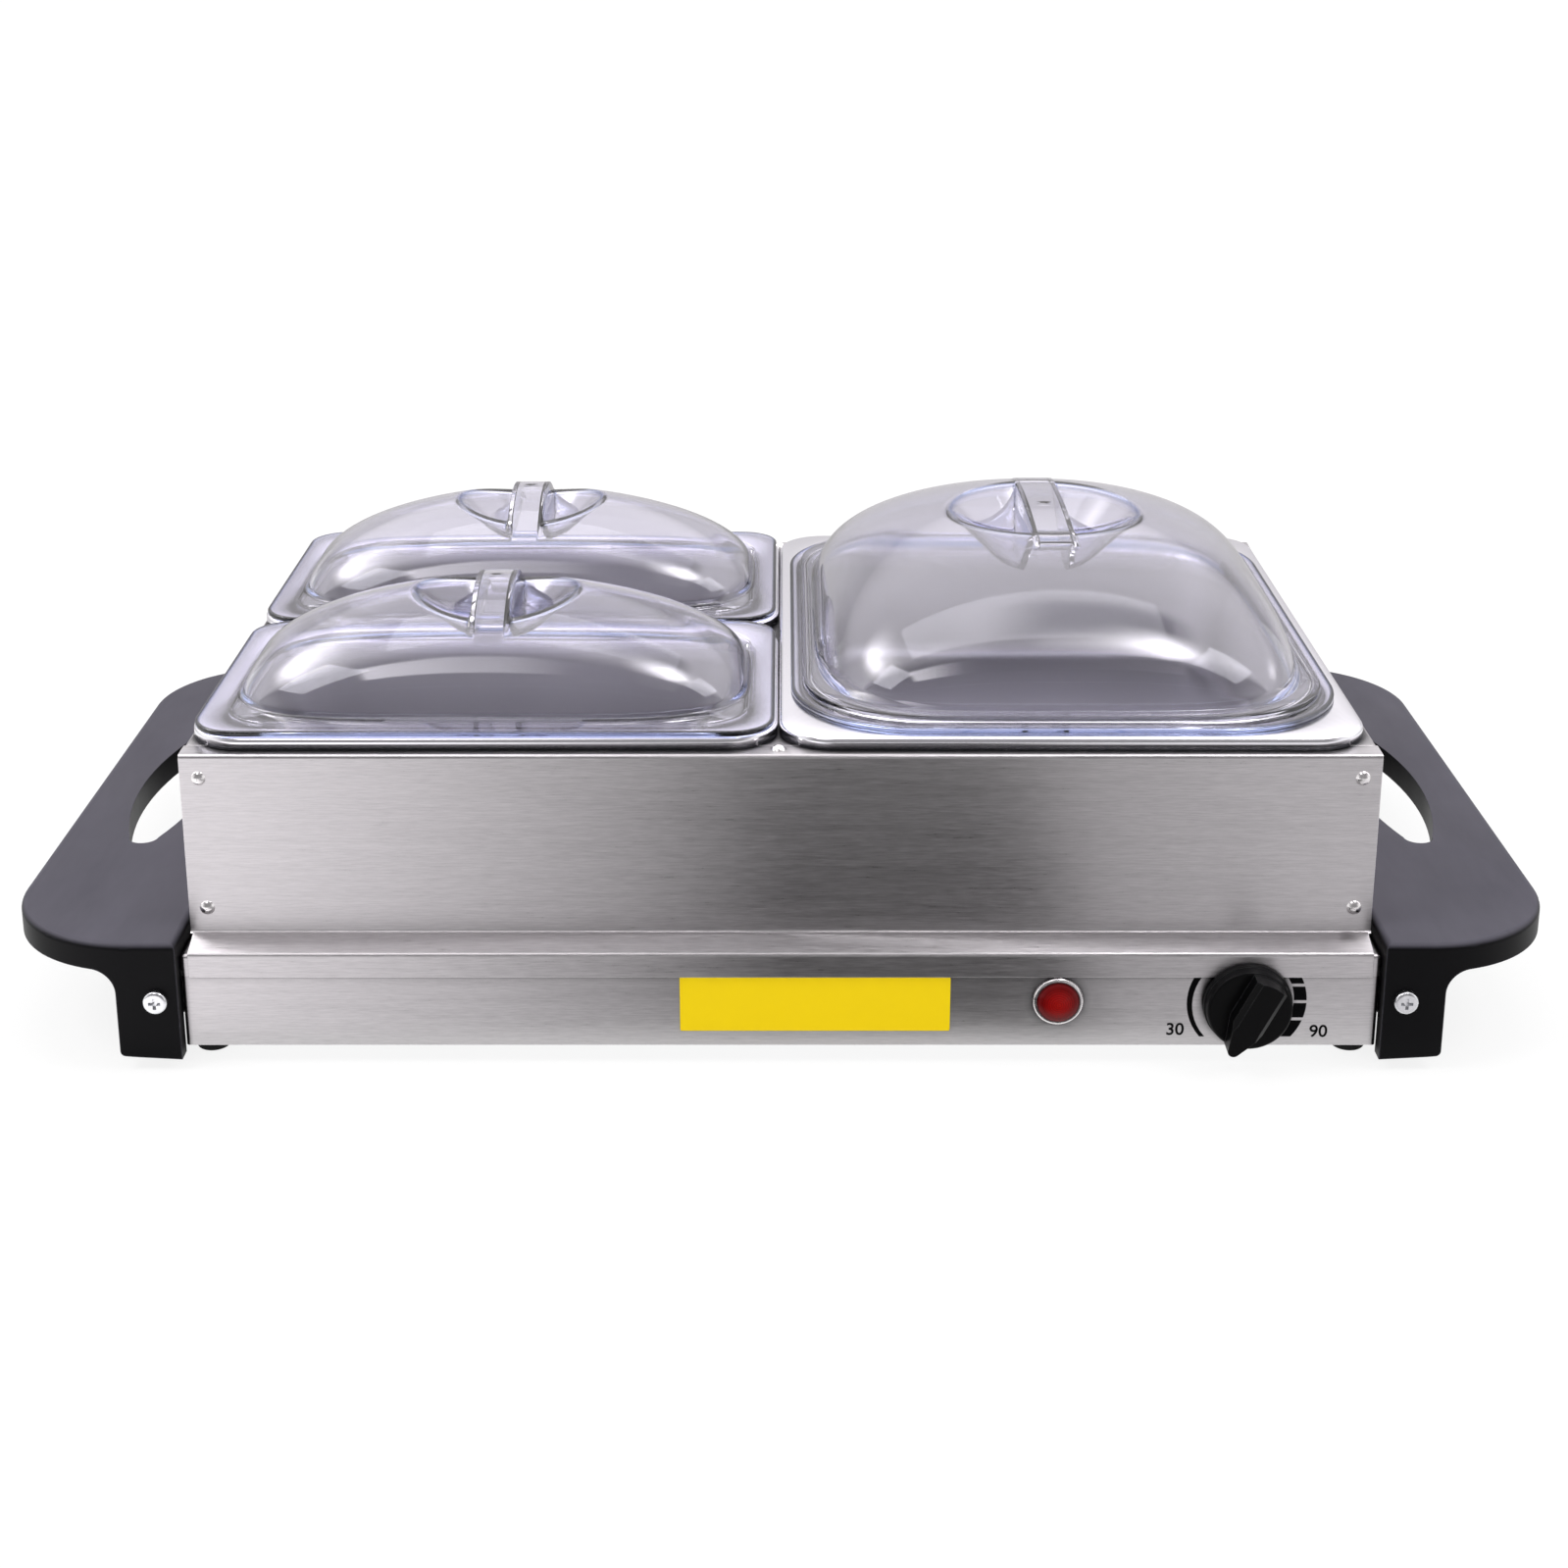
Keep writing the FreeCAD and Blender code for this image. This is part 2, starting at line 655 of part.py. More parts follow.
def make_leg():
    """Front leg with its hollow blend into the wing, trimmed to the wing's outline."""
    x0, x1 = handle_inner, handle_inner + leg_width
    z0, z1 = leg_lift, wing_under
    r = leg_blend
    y = -handle_end
    s = r * (1 - math.sqrt(0.5))
    toe, turn, landing = V(x1, y, z0 + leg_slant), V(x1, y, z1 - r), V(x1 + r, y, z1)
    top = wing_top - handle_edge
    section = Part.Wire([
        Part.LineSegment(V(x0, y, z0), toe).toShape(),
        Part.LineSegment(toe, turn).toShape(),
        Part.Arc(turn, V(x1 + s, y, z1 - s), landing).toShape(),
        Part.LineSegment(landing, V(x1 + r, y, top)).toShape(),
        Part.LineSegment(V(x1 + r, y, top), V(x0, y, top)).toShape(),
        Part.LineSegment(V(x0, y, top), V(x0, y, z0)).toShape()])
    leg = Part.Face(section).extrude(V(0, leg_length, 0))
    leg = leg.makeFillet(leg_toe, [e for e in leg.Edges if same(e.BoundBox.XMin, x1)
                                   and same(e.BoundBox.ZMax, toe.z) and same(e.BoundBox.YLength, leg_length)])
    return leg.common(prism(wing_outline(0, z0 - slack), wing_top - z0 + slack))


def make_right_handle():
    """Hollow moulding: a flat wing with a grip hole, and a leg at each end beside the base."""
    wing = prism(wing_outline(0, wing_under), handle_thickness)
    wing = wing.makeFillet(handle_edge, edges_at(wing, wing_top))
    leg = make_leg()
    legs = leg.fuse(leg.mirror(V(0, 0, 0), BACK))
    body = wing.fuse(legs).removeSplitter()
    hollow = prism(wing_outline(handle_wall, wing_under - slack),
                   handle_thickness - handle_wall + slack)
    hollow = hollow.cut(prism(hand_hole_outline(handle_wall, wing_under - slack),
                              handle_thickness + 2 * slack)).cut(legs)
    y0, y1 = -handle_end + handle_wall, -handle_end + leg_length - handle_wall
    x1 = handle_inner + leg_width - handle_wall
    low = leg_lift - slack
    core = fuse([box(handle_inner + handle_wall, x1, y0, y1, low, wing_top - handle_wall),
                 box(handle_inner - slack, x1, -base_rear + leg_return, y1, low, wing_under)])
    boss = rod(handle_boss_radius, handle_end - ear_outside - bracket_gap,
               V(handle_screw_x, -handle_end, handle_screw_z), BACK)
    core = core.cut(boss)
    body = body.cut(hollow).cut(core).cut(core.mirror(V(0, 0, 0), BACK))
    body = body.cut(prism(hand_hole_outline(0, wing_under - slack), handle_thickness + 2 * slack))
    clear_of_hole = hand_hole_half_length + handle_wall + handle_rib_margin
    ribs = []
    for sy in SIDES:
        y = sy * (clear_of_hole + handle_end - leg_length) / 2
        rib = box(handle_inner + handle_wall / 2, base_side + handle_reach - handle_wall / 2,
                  y - handle_rib / 2, y + handle_rib / 2, wing_under + handle_rib_margin,
                  wing_top - handle_wall / 2)
        ribs.append(rib)
    body = fuse([body] + ribs)
    holes = [V(handle_screw_x, sy * handle_end, handle_screw_z) for sy in SIDES]
    return drilled(body, holes, BACK, handle_screw_radius + screw_hole_clearance, handle_screw_length * 2)


def mirrored(shape):
    return shape.mirror(V(0, 0, 0), RIGHT)


def make_bracket():
    """Angle at the front right corner: flange on the base's side, ear behind the leg's boss."""
    x0 = base_side + bracket_reach
    path = [(x0, -ear_outside), (base_side, -ear_outside), (base_side, -ear_outside + bracket_flange)]
    low = handle_screw_z - bracket_width / 2
    bracket = folded_sheet(path[::-1], bracket_sheet, lambda u, v: V(u, v, low), V(0, 0, bracket_width))
    ear = V(handle_screw_x, -ear_outside, handle_screw_z)
    bracket = drilled(bracket, [ear], BACK, handle_screw_radius + snug, bracket_sheet * 4)
    rivets = [V(base_side, -bracket_rivet_y, z) for z in bracket_rivet_zs]
    return drilled(bracket, rivets, RIGHT, rivet_radius + snug, bracket_sheet * 4)


def at_four_corners(shape):
    """The part at the front right corner, with its copies at the other three."""
    right = [shape, shape.mirror(V(0, 0, 0), BACK)]
    return Part.makeCompound(right + [mirrored(s) for s in right])


def make_handle_screws():
    seat = V(handle_screw_x, -handle_end, handle_screw_z)
    return at_four_corners(pan_head_screw(seat, BACK, handle_screw_radius, handle_screw_length,
                                          handle_screw_head_radius, handle_screw_head_height,
                                          handle_screw_recess))


def make_bracket_rivets():
    grip = bracket_sheet + base_sheet
    pair = [rivet(V(base_side + bracket_sheet, -bracket_rivet_y, z), LEFT, grip)
            for z in bracket_rivet_zs]
    return at_four_corners(Part.makeCompound(pair))


# ---- thermostat and knob -----------------------------------------------------------------------------
panel_back = base_front + base_sheet
plate_back = panel_back + thermostat_plate
thermostat_back = plate_back + thermostat_length
knob_back = base_front - knob_gap
spindle_end = knob_back - spindle_in_knob
thermostat_tab_xs = (knob_x - thermostat_tab_pitch / 2, knob_x + thermostat_tab_pitch / 2)


def make_thermostat_plate():
    plate = box(knob_x - thermostat_plate_width / 2, knob_x + thermostat_plate_width / 2,
                panel_back, plate_back,
                knob_z - thermostat_plate_height / 2, knob_z + thermostat_plate_height / 2)
    plate = drilled(plate, [V(knob_x, plate_back, knob_z)], BACK, thermostat_bushing_radius,
                    thermostat_plate * 4)
    return drilled(plate, [at(p, plate_back) for p in thermostat_screw_spots], BACK,
                   screw_hole_radius, thermostat_plate * 4)


def make_thermostat_body():
    """Moulded case with a round bushing through the panel and two push-on tabs behind."""
    case = box(knob_x - thermostat_width / 2, knob_x + thermostat_width / 2,
               plate_back, thermostat_back,
               knob_z - thermostat_height / 2, knob_z + thermostat_height / 2)
    case = case.makeFillet(thermostat_edge,
                           [e for e in case.Edges if same(e.BoundBox.YLength, thermostat_length)])
    for spot in thermostat_screw_spots:
        case = case.cut(rod(screw_head_radius, thermostat_screw_relief + slack,
                            at(spot, plate_back - slack), BACK))
    bushing = rod(thermostat_bushing_radius - snug, thermostat_bushing_length,
                  V(knob_x, plate_back, knob_z), FORWARD)
    tabs = [box(x - tab_width / 2, x + tab_width / 2, thermostat_back, thermostat_back + tab_length,
                knob_z - tab_thickness / 2, knob_z + tab_thickness / 2) for x in thermostat_tab_xs]
    body = fuse([case, bushing] + tabs)
    bore = thermostat_bushing_length + spindle_in_case + spindle_end_gap
    return body.cut(rod(spindle_radius + spindle_clearance, bore,
                        V(knob_x, plate_back - thermostat_bushing_length, knob_z), BACK))


def make_thermostat_screws():
    return Part.makeCompound([
        pan_head_screw(at(p, base_front), BACK, screw_radius, thermostat_screw_length,
                       thermostat_screw_head_radius, thermostat_screw_head_height, screw_recess)
        for p in thermostat_screw_spots])


def make_spindle():
    """Round shaft with a flat where the knob grips it."""
    inner_end = plate_back + spindle_in_case
    shaft = rod(spindle_radius, inner_end - spindle_end, V(knob_x, inner_end, knob_z), FORWARD)
    flat = box(knob_x - spindle_radius, knob_x + spindle_radius, spindle_end - slack, knob_back,
               knob_z + spindle_radius - spindle_flat, knob_z + spindle_radius + slack)
    return shaft.cut(flat)


def make_knob():
    """Round skirt and body with a raised grip that runs out into a pointer. Built with its pointer
    along -y and its back on z = 0, then turned to face forward."""
    skirt = Part.makeCylinder(knob_radius, knob_skirt)
    skirt = skirt.makeFillet(knob_skirt_edge, edges_at(skirt, knob_skirt))
    cone = Part.makeCone(knob_body_radius + knob_body_draft, knob_body_radius, knob_body_height)
    cone = cone.makeFillet(knob_front_edge, edges_at(cone, knob_body_height))
    half = knob_grip_width / 2
    end_radius = knob_body_radius - knob_grip_inset
    tail = math.sqrt(end_radius ** 2 - half ** 2)
    shoulder = -knob_shoulder
    tip_centre = -knob_tip_reach + knob_tip_radius
    lean = math.atan2(half - knob_tip_radius, shoulder - tip_centre)
    side_x = knob_tip_radius * math.cos(lean)
    side_y = tip_centre - knob_tip_radius * math.sin(lean)
    plan = Part.Wire([
        Part.LineSegment(V(half, tail, 0), V(half, shoulder, 0)).toShape(),
        Part.LineSegment(V(half, shoulder, 0), V(side_x, side_y, 0)).toShape(),
        Part.Arc(V(side_x, side_y, 0), V(0, -knob_tip_reach, 0), V(-side_x, side_y, 0)).toShape(),
        Part.LineSegment(V(-side_x, side_y, 0), V(-half, shoulder, 0)).toShape(),
        Part.LineSegment(V(-half, shoulder, 0), V(-half, tail, 0)).toShape(),
        Part.Arc(V(-half, tail, 0), V(0, end_radius, 0), V(half, tail, 0)).toShape()])
    grip = Part.Face(plan).extrude(V(0, 0, knob_grip_height))
    top, low = knob_grip_height, knob_grip_height - knob_tip_drop
    slope = Part.makePolygon([V(-knob_radius, shoulder, top), V(-knob_radius, shoulder, top + slack),
                              V(-knob_radius, -knob_tip_reach - slack, top + slack),
                              V(-knob_radius, -knob_tip_reach - slack, low),
                              V(-knob_radius, shoulder, top)])
    grip = grip.cut(Part.Face(slope).extrude(V(2 * knob_radius, 0, 0)))
    long_sides = [e for e in grip.Edges if same(e.BoundBox.ZMin, top) and same(e.BoundBox.ZMax, top)
                  and same(e.BoundBox.XLength, 0)]
    grip = grip.makeChamfer(knob_grip_chamfer, long_sides)
    knob = fuse([skirt, cone, grip])
    bore = rod(spindle_radius + spindle_clearance, spindle_in_knob + spindle_end_gap, V(0, 0, 0), UP)
    knob = knob.cut(bore)
    knob.rotate(V(0, 0, 0), UP, -knob_rest_angle)
    knob.Placement = FreeCAD.Placement(V(knob_x, knob_back, knob_z),
                                       FreeCAD.Rotation(RIGHT, 90)).multiply(knob.Placement)
    return knob


# ---- indicator -------------------------------------------------------------------------------------
indicator_spot = V(indicator_x, base_front, indicator_z)
lamp_tab_xs = (indicator_x - lamp_tab_pitch / 2, indicator_x + lamp_tab_pitch / 2)


def make_bezel():
    """Chromed collar with a hollow barrel through the panel."""
    collar = rod(bezel_radius, bezel_height, indicator_spot, FORWARD)
    front = [e for e in collar.Edges if same(e.BoundBox.YMax, base_front - bezel_height)]
    collar = collar.makeFillet(bezel_edge, front)
    barrel = rod(bezel_barrel_radius, bezel_barrel_length, indicator_spot, BACK)
    body = fuse([collar, barrel])
    bore_length = bezel_height + bezel_barrel_length + 2 * slack
    body = body.cut(rod(bezel_barrel_radius - bezel_wall, bore_length,
                        indicator_spot + FORWARD * (bezel_height + slack), BACK))
    seat = rod(lens_radius + lens_stem_clearance, bezel_height, indicator_spot + FORWARD * lens_seat,
               FORWARD)
    return body.cut(seat)


def make_lens():
    """Domed cap on a short stem."""
    face = base_front - lens_seat
    rim_height = bezel_height - lens_seat
    rim = rod(lens_radius, rim_height, V(indicator_x, face, indicator_z), FORWARD)
    dome = dome_cap(lens_radius, lens_rise)
    dome.Placement = FreeCAD.Placement(V(indicator_x, face - rim_height, indicator_z),
                                       FreeCAD.Rotation(UP, FORWARD))
    stem = rod(bezel_barrel_radius - bezel_wall - lens_stem_clearance, lens_stem_length,
               V(indicator_x, face, indicator_z), BACK)
    return fuse([rim, dome, stem])


def make_lamp():
    """Neon lamp in its holder at the back of the barrel."""
    holder_radius = bezel_barrel_radius - bezel_wall - lens_stem_clearance
    end = base_front + bezel_barrel_length
    holder = rod(holder_radius, lamp_holder, V(indicator_x, end, indicator_z), FORWARD)
    bulb = rod(lamp_radius, lamp_length, V(indicator_x, end - lamp_holder, indicator_z), FORWARD)
    tabs = [box(x - lamp_tab_width / 2, x + lamp_tab_width / 2, end, end + tab_length,
                indicator_z - tab_thickness / 2, indicator_z + tab_thickness / 2) for x in lamp_tab_xs]
    return fuse([holder, bulb] + tabs)


def make_indicator_nut():
    nut = rod(indicator_nut_radius, indicator_nut_height, V(indicator_x, panel_back, indicator_z), BACK)
    return nut.cut(rod(bezel_barrel_radius + snug, indicator_nut_height,
                       V(indicator_x, panel_back, indicator_z), BACK))


# ---- cord inlet ------------------------------------------------------------------------------------
def make_cable_gland():
    """Threaded body with its clamping dome outside the rear wall."""
    spot = V(gland_x, base_rear, gland_z)
    collar = rod(gland_flange_radius, gland_flange_height, spot, BACK)
    dome = rod(gland_dome_radius, gland_dome_height, spot + BACK * gland_flange_height, BACK)
    outside = gland_flange_height + gland_dome_height
    inside = base_sheet + gland_nut_height + gland_thread_tail
    dome = dome.makeFillet(gland_dome_edge,
                           [e for e in dome.Edges if same(e.BoundBox.YMin, base_rear + outside)])
    body = fuse([collar, dome, rod(gland_thread_radius, inside, spot, FORWARD)])
    return body.cut(rod(gland_bore_radius, inside + outside + 2 * slack,
                        spot + FORWARD * (inside + slack), BACK))


def make_gland_nut():
    start = V(gland_x, base_rear - base_sheet - gland_nut_height, gland_z)
    return hexagon(gland_nut_across_flats, gland_nut_height, start, BACK, gland_thread_radius + snug)


# ---- heating ---------------------------------------------------------------------------------------
element_ys = [(i - (element_runs - 1) / 2) * element_pitch for i in range(element_runs)]
cold_end = reflector_width / 2 - cold_end_inset
element_right = cold_end - element_lead_out
clamp_xs = [(element_left + element_right) / 2 + (i - (clamp_count - 1) / 2) * clamp_pitch
            for i in range(clamp_count)]
standoff_centres = [V(sx * (reflector_width / 2 - standoff_inset),
                      sy * (reflector_depth / 2 - standoff_inset), 0) for sx in SIDES for sy in SIDES]
reflector_z = plate_top + reflector_height
terminal_y = base_rear - terminal_from_rear
terminal_screw_spots = [V(terminal_x + s * terminal_width / 3, terminal_y, 0) for s in SIDES]
terminal_way_xs = [terminal_x + (i - (terminal_ways - 1) / 2) * terminal_width / terminal_ways
                   for i in range(terminal_ways)]


def make_heating_element():
    """Tubular element in a serpentine of straight runs and half-circle bends."""
    r = element_pitch / 2
    edges = []
    for i, y in enumerate(element_ys):
        rightwards = i % 2 == 1
        first = i == 0
        last = i == element_runs - 1
        x_in = element_left if rightwards else element_right
        x_out = element_right if rightwards else element_left
        if first:
            x_in = cold_end
        if last:
            x_out = cold_end if rightwards else element_left - element_lead_out
        edges.append(Part.LineSegment(V(x_in, y, element_z), V(x_out, y, element_z)).toShape())
        if not last:
            bulge = r if rightwards else -r
            edges.append(Part.Arc(V(x_out, y, element_z), V(x_out + bulge, y + r, element_z),
                                  V(x_out, y + element_pitch, element_z)).toShape())
    ring = Part.Wire([Part.makeCircle(element_radius, V(cold_end, element_ys[0], element_z), RIGHT)])
    return Part.Wire(edges).makePipeShell([ring], True, False)


def make_element_clamps():
    """Straps across the runs, held up to the hot plate by posts between them."""
    clamps = []
    under = element_z - element_radius - clamp_gap
    reach = element_ys[-1] + element_pitch / 3
    posts = [element_ys[0] - element_pitch / 3] + \
            [y + element_pitch / 2 for y in element_ys[:-1]] + [reach]
    for x in clamp_xs:
        x0, x1 = x - clamp_width / 2, x + clamp_width / 2
        strap = box(x0, x1, -reach - clamp_post / 2, reach + clamp_post / 2,
                    under - clamp_sheet, under)
        studs = [box(x0, x1, y - clamp_post / 2, y + clamp_post / 2, under, hot_plate_under)
                 for y in posts]
        clamps.append(fuse([strap] + studs))
    return Part.makeCompound(clamps)


def make_reflector():
    sheet = box(-reflector_width / 2, reflector_width / 2, -reflector_depth / 2, reflector_depth / 2,
                reflector_z, reflector_z + reflector_sheet)
    return drilled(sheet, [p + UP * reflector_z for p in standoff_centres], UP, screw_hole_radius,
                   reflector_sheet * 4)


def make_standoffs():
    posts = []
    for p in standoff_centres:
        post = rod(standoff_radius, reflector_height, p + UP * plate_top, UP)
        stud = rod(screw_radius, bottom_sheet + standoff_stud, p + UP * plate_top, DOWN)
        tip = rod(screw_radius, standoff_tip, p + UP * reflector_z, UP)
        posts.append(fuse([post, stud, tip]))
    return Part.makeCompound(posts)


def make_thermal_fuse():
    """Round cut-out in a clip on the underside of the hot plate, between two runs."""
    z = hot_plate_under - fuse_clip_sheet - fuse_radius
    x = clamp_xs[-1] + clamp_pitch / 4
    x0, x1 = x - fuse_clip_width / 2, x + fuse_clip_width / 2
    capsule = rod(fuse_radius, fuse_length, V(x - fuse_length / 2, 0, z), RIGHT)
    reach = fuse_radius + fuse_clip_sheet
    clip = box(x0, x1, -fuse_clip_length / 2, fuse_clip_length / 2,
               hot_plate_under - fuse_clip_sheet, hot_plate_under)
    loop = box(x0, x1, -reach, reach, z - reach, hot_plate_under)
    return fuse([capsule, clip, loop])


def make_terminal_block():
    """Three-way screw terminal strip on the bottom plate."""
    x0, x1 = terminal_x - terminal_width / 2, terminal_x + terminal_width / 2
    y0, y1 = terminal_y - terminal_depth / 2, terminal_y + terminal_depth / 2
    block = box(x0, x1, y0, y1, plate_top, plate_top + terminal_height)
    hole_floor = plate_top + terminal_height - terminal_hole_depth
    for x in terminal_way_xs:
        block = block.cut(rod(terminal_hole_radius, terminal_hole_depth + slack,
                              V(x, terminal_y, hole_floor), UP))
    studs = [rod(screw_radius, bottom_sheet + terminal_stud, p + UP * plate_top, DOWN)
             for p in terminal_screw_spots]
    return fuse([block] + studs)


def make_earth_stud():
    """Stud with a nut, standing on the return flange beside the inlet."""
    spot = V(earth_stud_x, base_rear - base_sheet - flange_width / 2, plate_top + base_sheet)
    stud = rod(screw_radius, earth_stud_length, spot, UP)
    washer = rod(earth_washer_radius, earth_washer, spot + UP * earth_wire_gap, UP)
    nut = hexagon(nut_across_flats, nut_height, spot + UP * (earth_wire_gap + earth_washer), UP,
                  screw_radius / 2)
    return fuse([stud, washer, nut])


def make_leads():
    """Insulated wires along the bottom plate, from the terminal block to what they feed."""
    low = plate_top + lead_floor_gap + lead_radius
    block_front = terminal_y - terminal_depth / 2
    block_side = terminal_x + terminal_width / 2

    def to_tab(start_x, tab_x, tab_z, tab_end):
        turn_y = tab_end + lead_bend + lead_stub
        return [V(start_x, block_front, low), V(start_x, block_front - 2 * lead_bend, low),
                V(tab_x, turn_y + 2 * lead_bend, low), V(tab_x, turn_y, low),
                V(tab_x, turn_y, tab_z), V(tab_x, tab_end, tab_z)]

    def to_cold_end(y, x, entry_y):
        return [V(cold_end, y, element_z), V(x, y, element_z), V(x, y, low), V(x, entry_y, low),
                V(block_side, entry_y, low)]

    past_reflector = reflector_width / 2 + lead_clearance
    routes = [
        to_tab(terminal_way_xs[-1], thermostat_tab_xs[0], knob_z, thermostat_back + tab_length),
        to_tab(terminal_way_xs[0], lamp_tab_xs[0], indicator_z,
               base_front + bezel_barrel_length + tab_length),
        to_cold_end(element_ys[-1], past_reflector, terminal_y - lead_entry_pitch / 2),
        to_cold_end(element_ys[0], past_reflector + lead_spacing, terminal_y + lead_entry_pitch / 2)]
    return Part.makeCompound([tube_along(route, lead_radius, lead_bend) for route in routes])


# ---- pan frame -------------------------------------------------------------------------------------
frame_front = -frame_depth / 2
frame_side = frame_width / 2
rivet_heights = (base_top + panel_rivet_low, base_top + panel_rivet_high)
panel_rivet_spots = [V(sx * (frame_side - panel_rivet_inset), frame_front, z)
                     for sx in SIDES for z in rivet_heights]
bar_rivet_spot = V(pan_line_x, frame_front + bar_rivet_inset, frame_top)


def make_front_panel():
    """Tall panel with a flange folded in at the top, and a sloping ledge and skirt at the bottom."""
    skirt_face = base_front - skirt_gap - frame_sheet
    path = [(frame_front + frame_top_flange, frame_top), (frame_front, frame_top),
            (frame_front, base_top + ledge_back_rise),
            (skirt_face, base_top + ledge_front_rise), (skirt_face, base_top - skirt_drop)]
    panel = folded_sheet(path, frame_sheet, lambda u, v: V(-frame_side, u, v), V(frame_width, 0, 0))
    low = base_top + ledge_back_rise - ledge_trim
    trimmed = box(-skirt_width / 2, skirt_width / 2, skirt_face - slack, frame_front + frame_sheet,
                  base_top - skirt_drop - slack, low)
    below = box(-frame_width, frame_width, skirt_face - slack, frame_front + frame_sheet,
                base_top - skirt_drop - slack, low)
    panel = panel.cut(below.cut(trimmed))
    panel = drilled(panel, panel_rivet_spots, BACK, rivet_radius + snug, frame_sheet * 4)
    return drilled(panel, [bar_rivet_spot], UP, rivet_radius + snug, frame_sheet * 4)


def make_side_panel():
    """Right panel: flanges folded in at top and foot, and a tab behind each end panel."""
    y0, y1 = frame_front + frame_sheet, -frame_front - frame_sheet
    side = folded_sheet([(frame_side - frame_foot_flange, base_top), (frame_side, base_top),
                         (frame_side, frame_top), (frame_side - frame_top_flange, frame_top)],
                        frame_sheet, lambda u, v: V(u, y0, v), V(0, y1 - y0, 0))
    notch = box(frame_side - frame_top_flange - slack, frame_side + slack, y0 - slack,
                frame_front + frame_top_flange + bar_clearance, frame_top - 3 * frame_sheet,
                frame_top + slack)
    side = side.cut(notch).cut(notch.mirror(V(0, 0, 0), BACK))
    tab = box(frame_side - frame_tab, frame_side - frame_sheet / 2, y0, y0 + frame_sheet,
              base_top + 2 * frame_sheet + bend_inside, frame_top - 4 * frame_sheet)
    rivets = [p + BACK * frame_sheet for p in panel_rivet_spots if p.x > 0]
    tab = drilled(tab, rivets, BACK, rivet_radius + snug, frame_sheet * 4)
    return fuse([side, tab, tab.mirror(V(0, 0, 0), BACK)])


def channel_bar(width, height, length, tongue):
    """Upside-down channel along y with a joggled tongue at each end, top at z = 0."""
    half = width / 2
    bar = folded_sheet([(-half, -height), (-half, 0), (half, 0), (half, -height)][::-1],
                       frame_sheet, lambda u, v: V(u, -length / 2, v), V(0, length, 0))
    end = length / 2
    x0, x1 = -half + tongue_inset, half - tongue_inset
    reach = box(x0, x1, end - tongue_overlap, end + tongue, -2 * frame_sheet, -frame_sheet)
    root = box(x0, x1, end - tongue_overlap, end, -2 * frame_sheet, 0)
    joggle = fuse([reach, root])
    return fuse([bar, joggle, joggle.mirror(V(0, 0, 0), BACK)])


def make_centre_bar():
    """Front-to-back bar under the line where the small pans meet the large one."""
    length = frame_depth - 2 * (frame_top_flange + bar_clearance)
    bar = channel_bar(bar_width, bar_height, length, bar_tongue)
    bar.translate(V(pan_line_x, 0, frame_top))
    spots = [bar_rivet_spot, V(bar_rivet_spot.x, -bar_rivet_spot.y, bar_rivet_spot.z)]
    return drilled(bar, spots, UP, rivet_radius + snug, frame_sheet * 6)


divider_left = -frame_side + frame_top_flange + bar_clearance
divider_right = pan_line_x - bar_width / 2 - bar_clearance


def make_pan_divider():
    """Cross bar under the line between the two small pans."""
    length = divider_right - divider_left
    half = divider_width / 2
    x0 = divider_left
    bar = folded_sheet([(half, -divider_height), (half, 0), (-half, 0), (-half, -divider_height)],
                       frame_sheet, lambda u, v: V(x0, u, frame_top + v), V(length, 0, 0))
    lower = frame_top - frame_sheet
    y0, y1 = -half + tongue_inset, half - tongue_inset
    tongue = box(x0 - divider_tongue, x0 + tongue_overlap, y0, y1, lower - frame_sheet, lower)
    root = box(x0, x0 + tongue_overlap, y0, y1, lower - frame_sheet, frame_top)
    return fuse([bar, tongue, root])


def make_frame_rivets():
    front = [rivet(p, BACK, 2 * frame_sheet) for p in panel_rivet_spots]
    front.append(rivet(bar_rivet_spot, DOWN, 2 * frame_sheet))
    rear = [r.mirror(V(0, 0, 0), BACK) for r in front]
    return Part.makeCompound(front + rear)


# ---- pans ------------------------------------------------------------------------------------------
def pan_opening(width, depth):
    return width - 2 * pan_rim_width, depth - 2 * pan_rim_width


def make_pan(width, depth, corner):
    """Deep-drawn pan on the z axis: rolled rim, stacking shoulder, tapered walls, rounded floor."""
    opening = pan_opening(width, depth)

    def section(inset, offset, z):
        grow = 2 * (offset - inset)
        return rounded_rectangle(opening[0] + grow, opening[1] + grow,
                                 corner - inset + offset, z)

    def well(offset, floor, top):
        shoulder = pan_step_width
        levels = [(0.0, top), (0.0, rim_top - pan_step_depth),
                  (shoulder, rim_top - pan_step_depth - pan_step_drop),
                  (shoulder + pan_draft, floor)]
        solid = Part.makeLoft([section(inset, offset, z) for inset, z in levels], True, True)
        return solid.makeFillet(pan_floor_radius + offset, edges_at(solid, floor))

    floor = rim_top - pan_depth
    under_rim = rim_top - pan_sheet
    rim = prism(rounded_rectangle(width, depth, pan_rim_corner, frame_top), pan_rim_height)
    rim = rim.makeFillet(pan_rim_edge, edges_at(rim, rim_top))
    hollow = prism(rounded_rectangle(width - 2 * pan_sheet, depth - 2 * pan_sheet,
                                     pan_rim_corner - pan_sheet, frame_top - slack),
                   under_rim - frame_top + slack)
    hollow = hollow.makeFillet(pan_rim_edge - pan_sheet, edges_at(hollow, under_rim))
    shell = rim.cut(hollow).fuse(well(pan_sheet, floor - pan_sheet, rim_top))
    pan = shell.cut(well(0.0, floor, rim_top))
    return pan.removeSplitter()


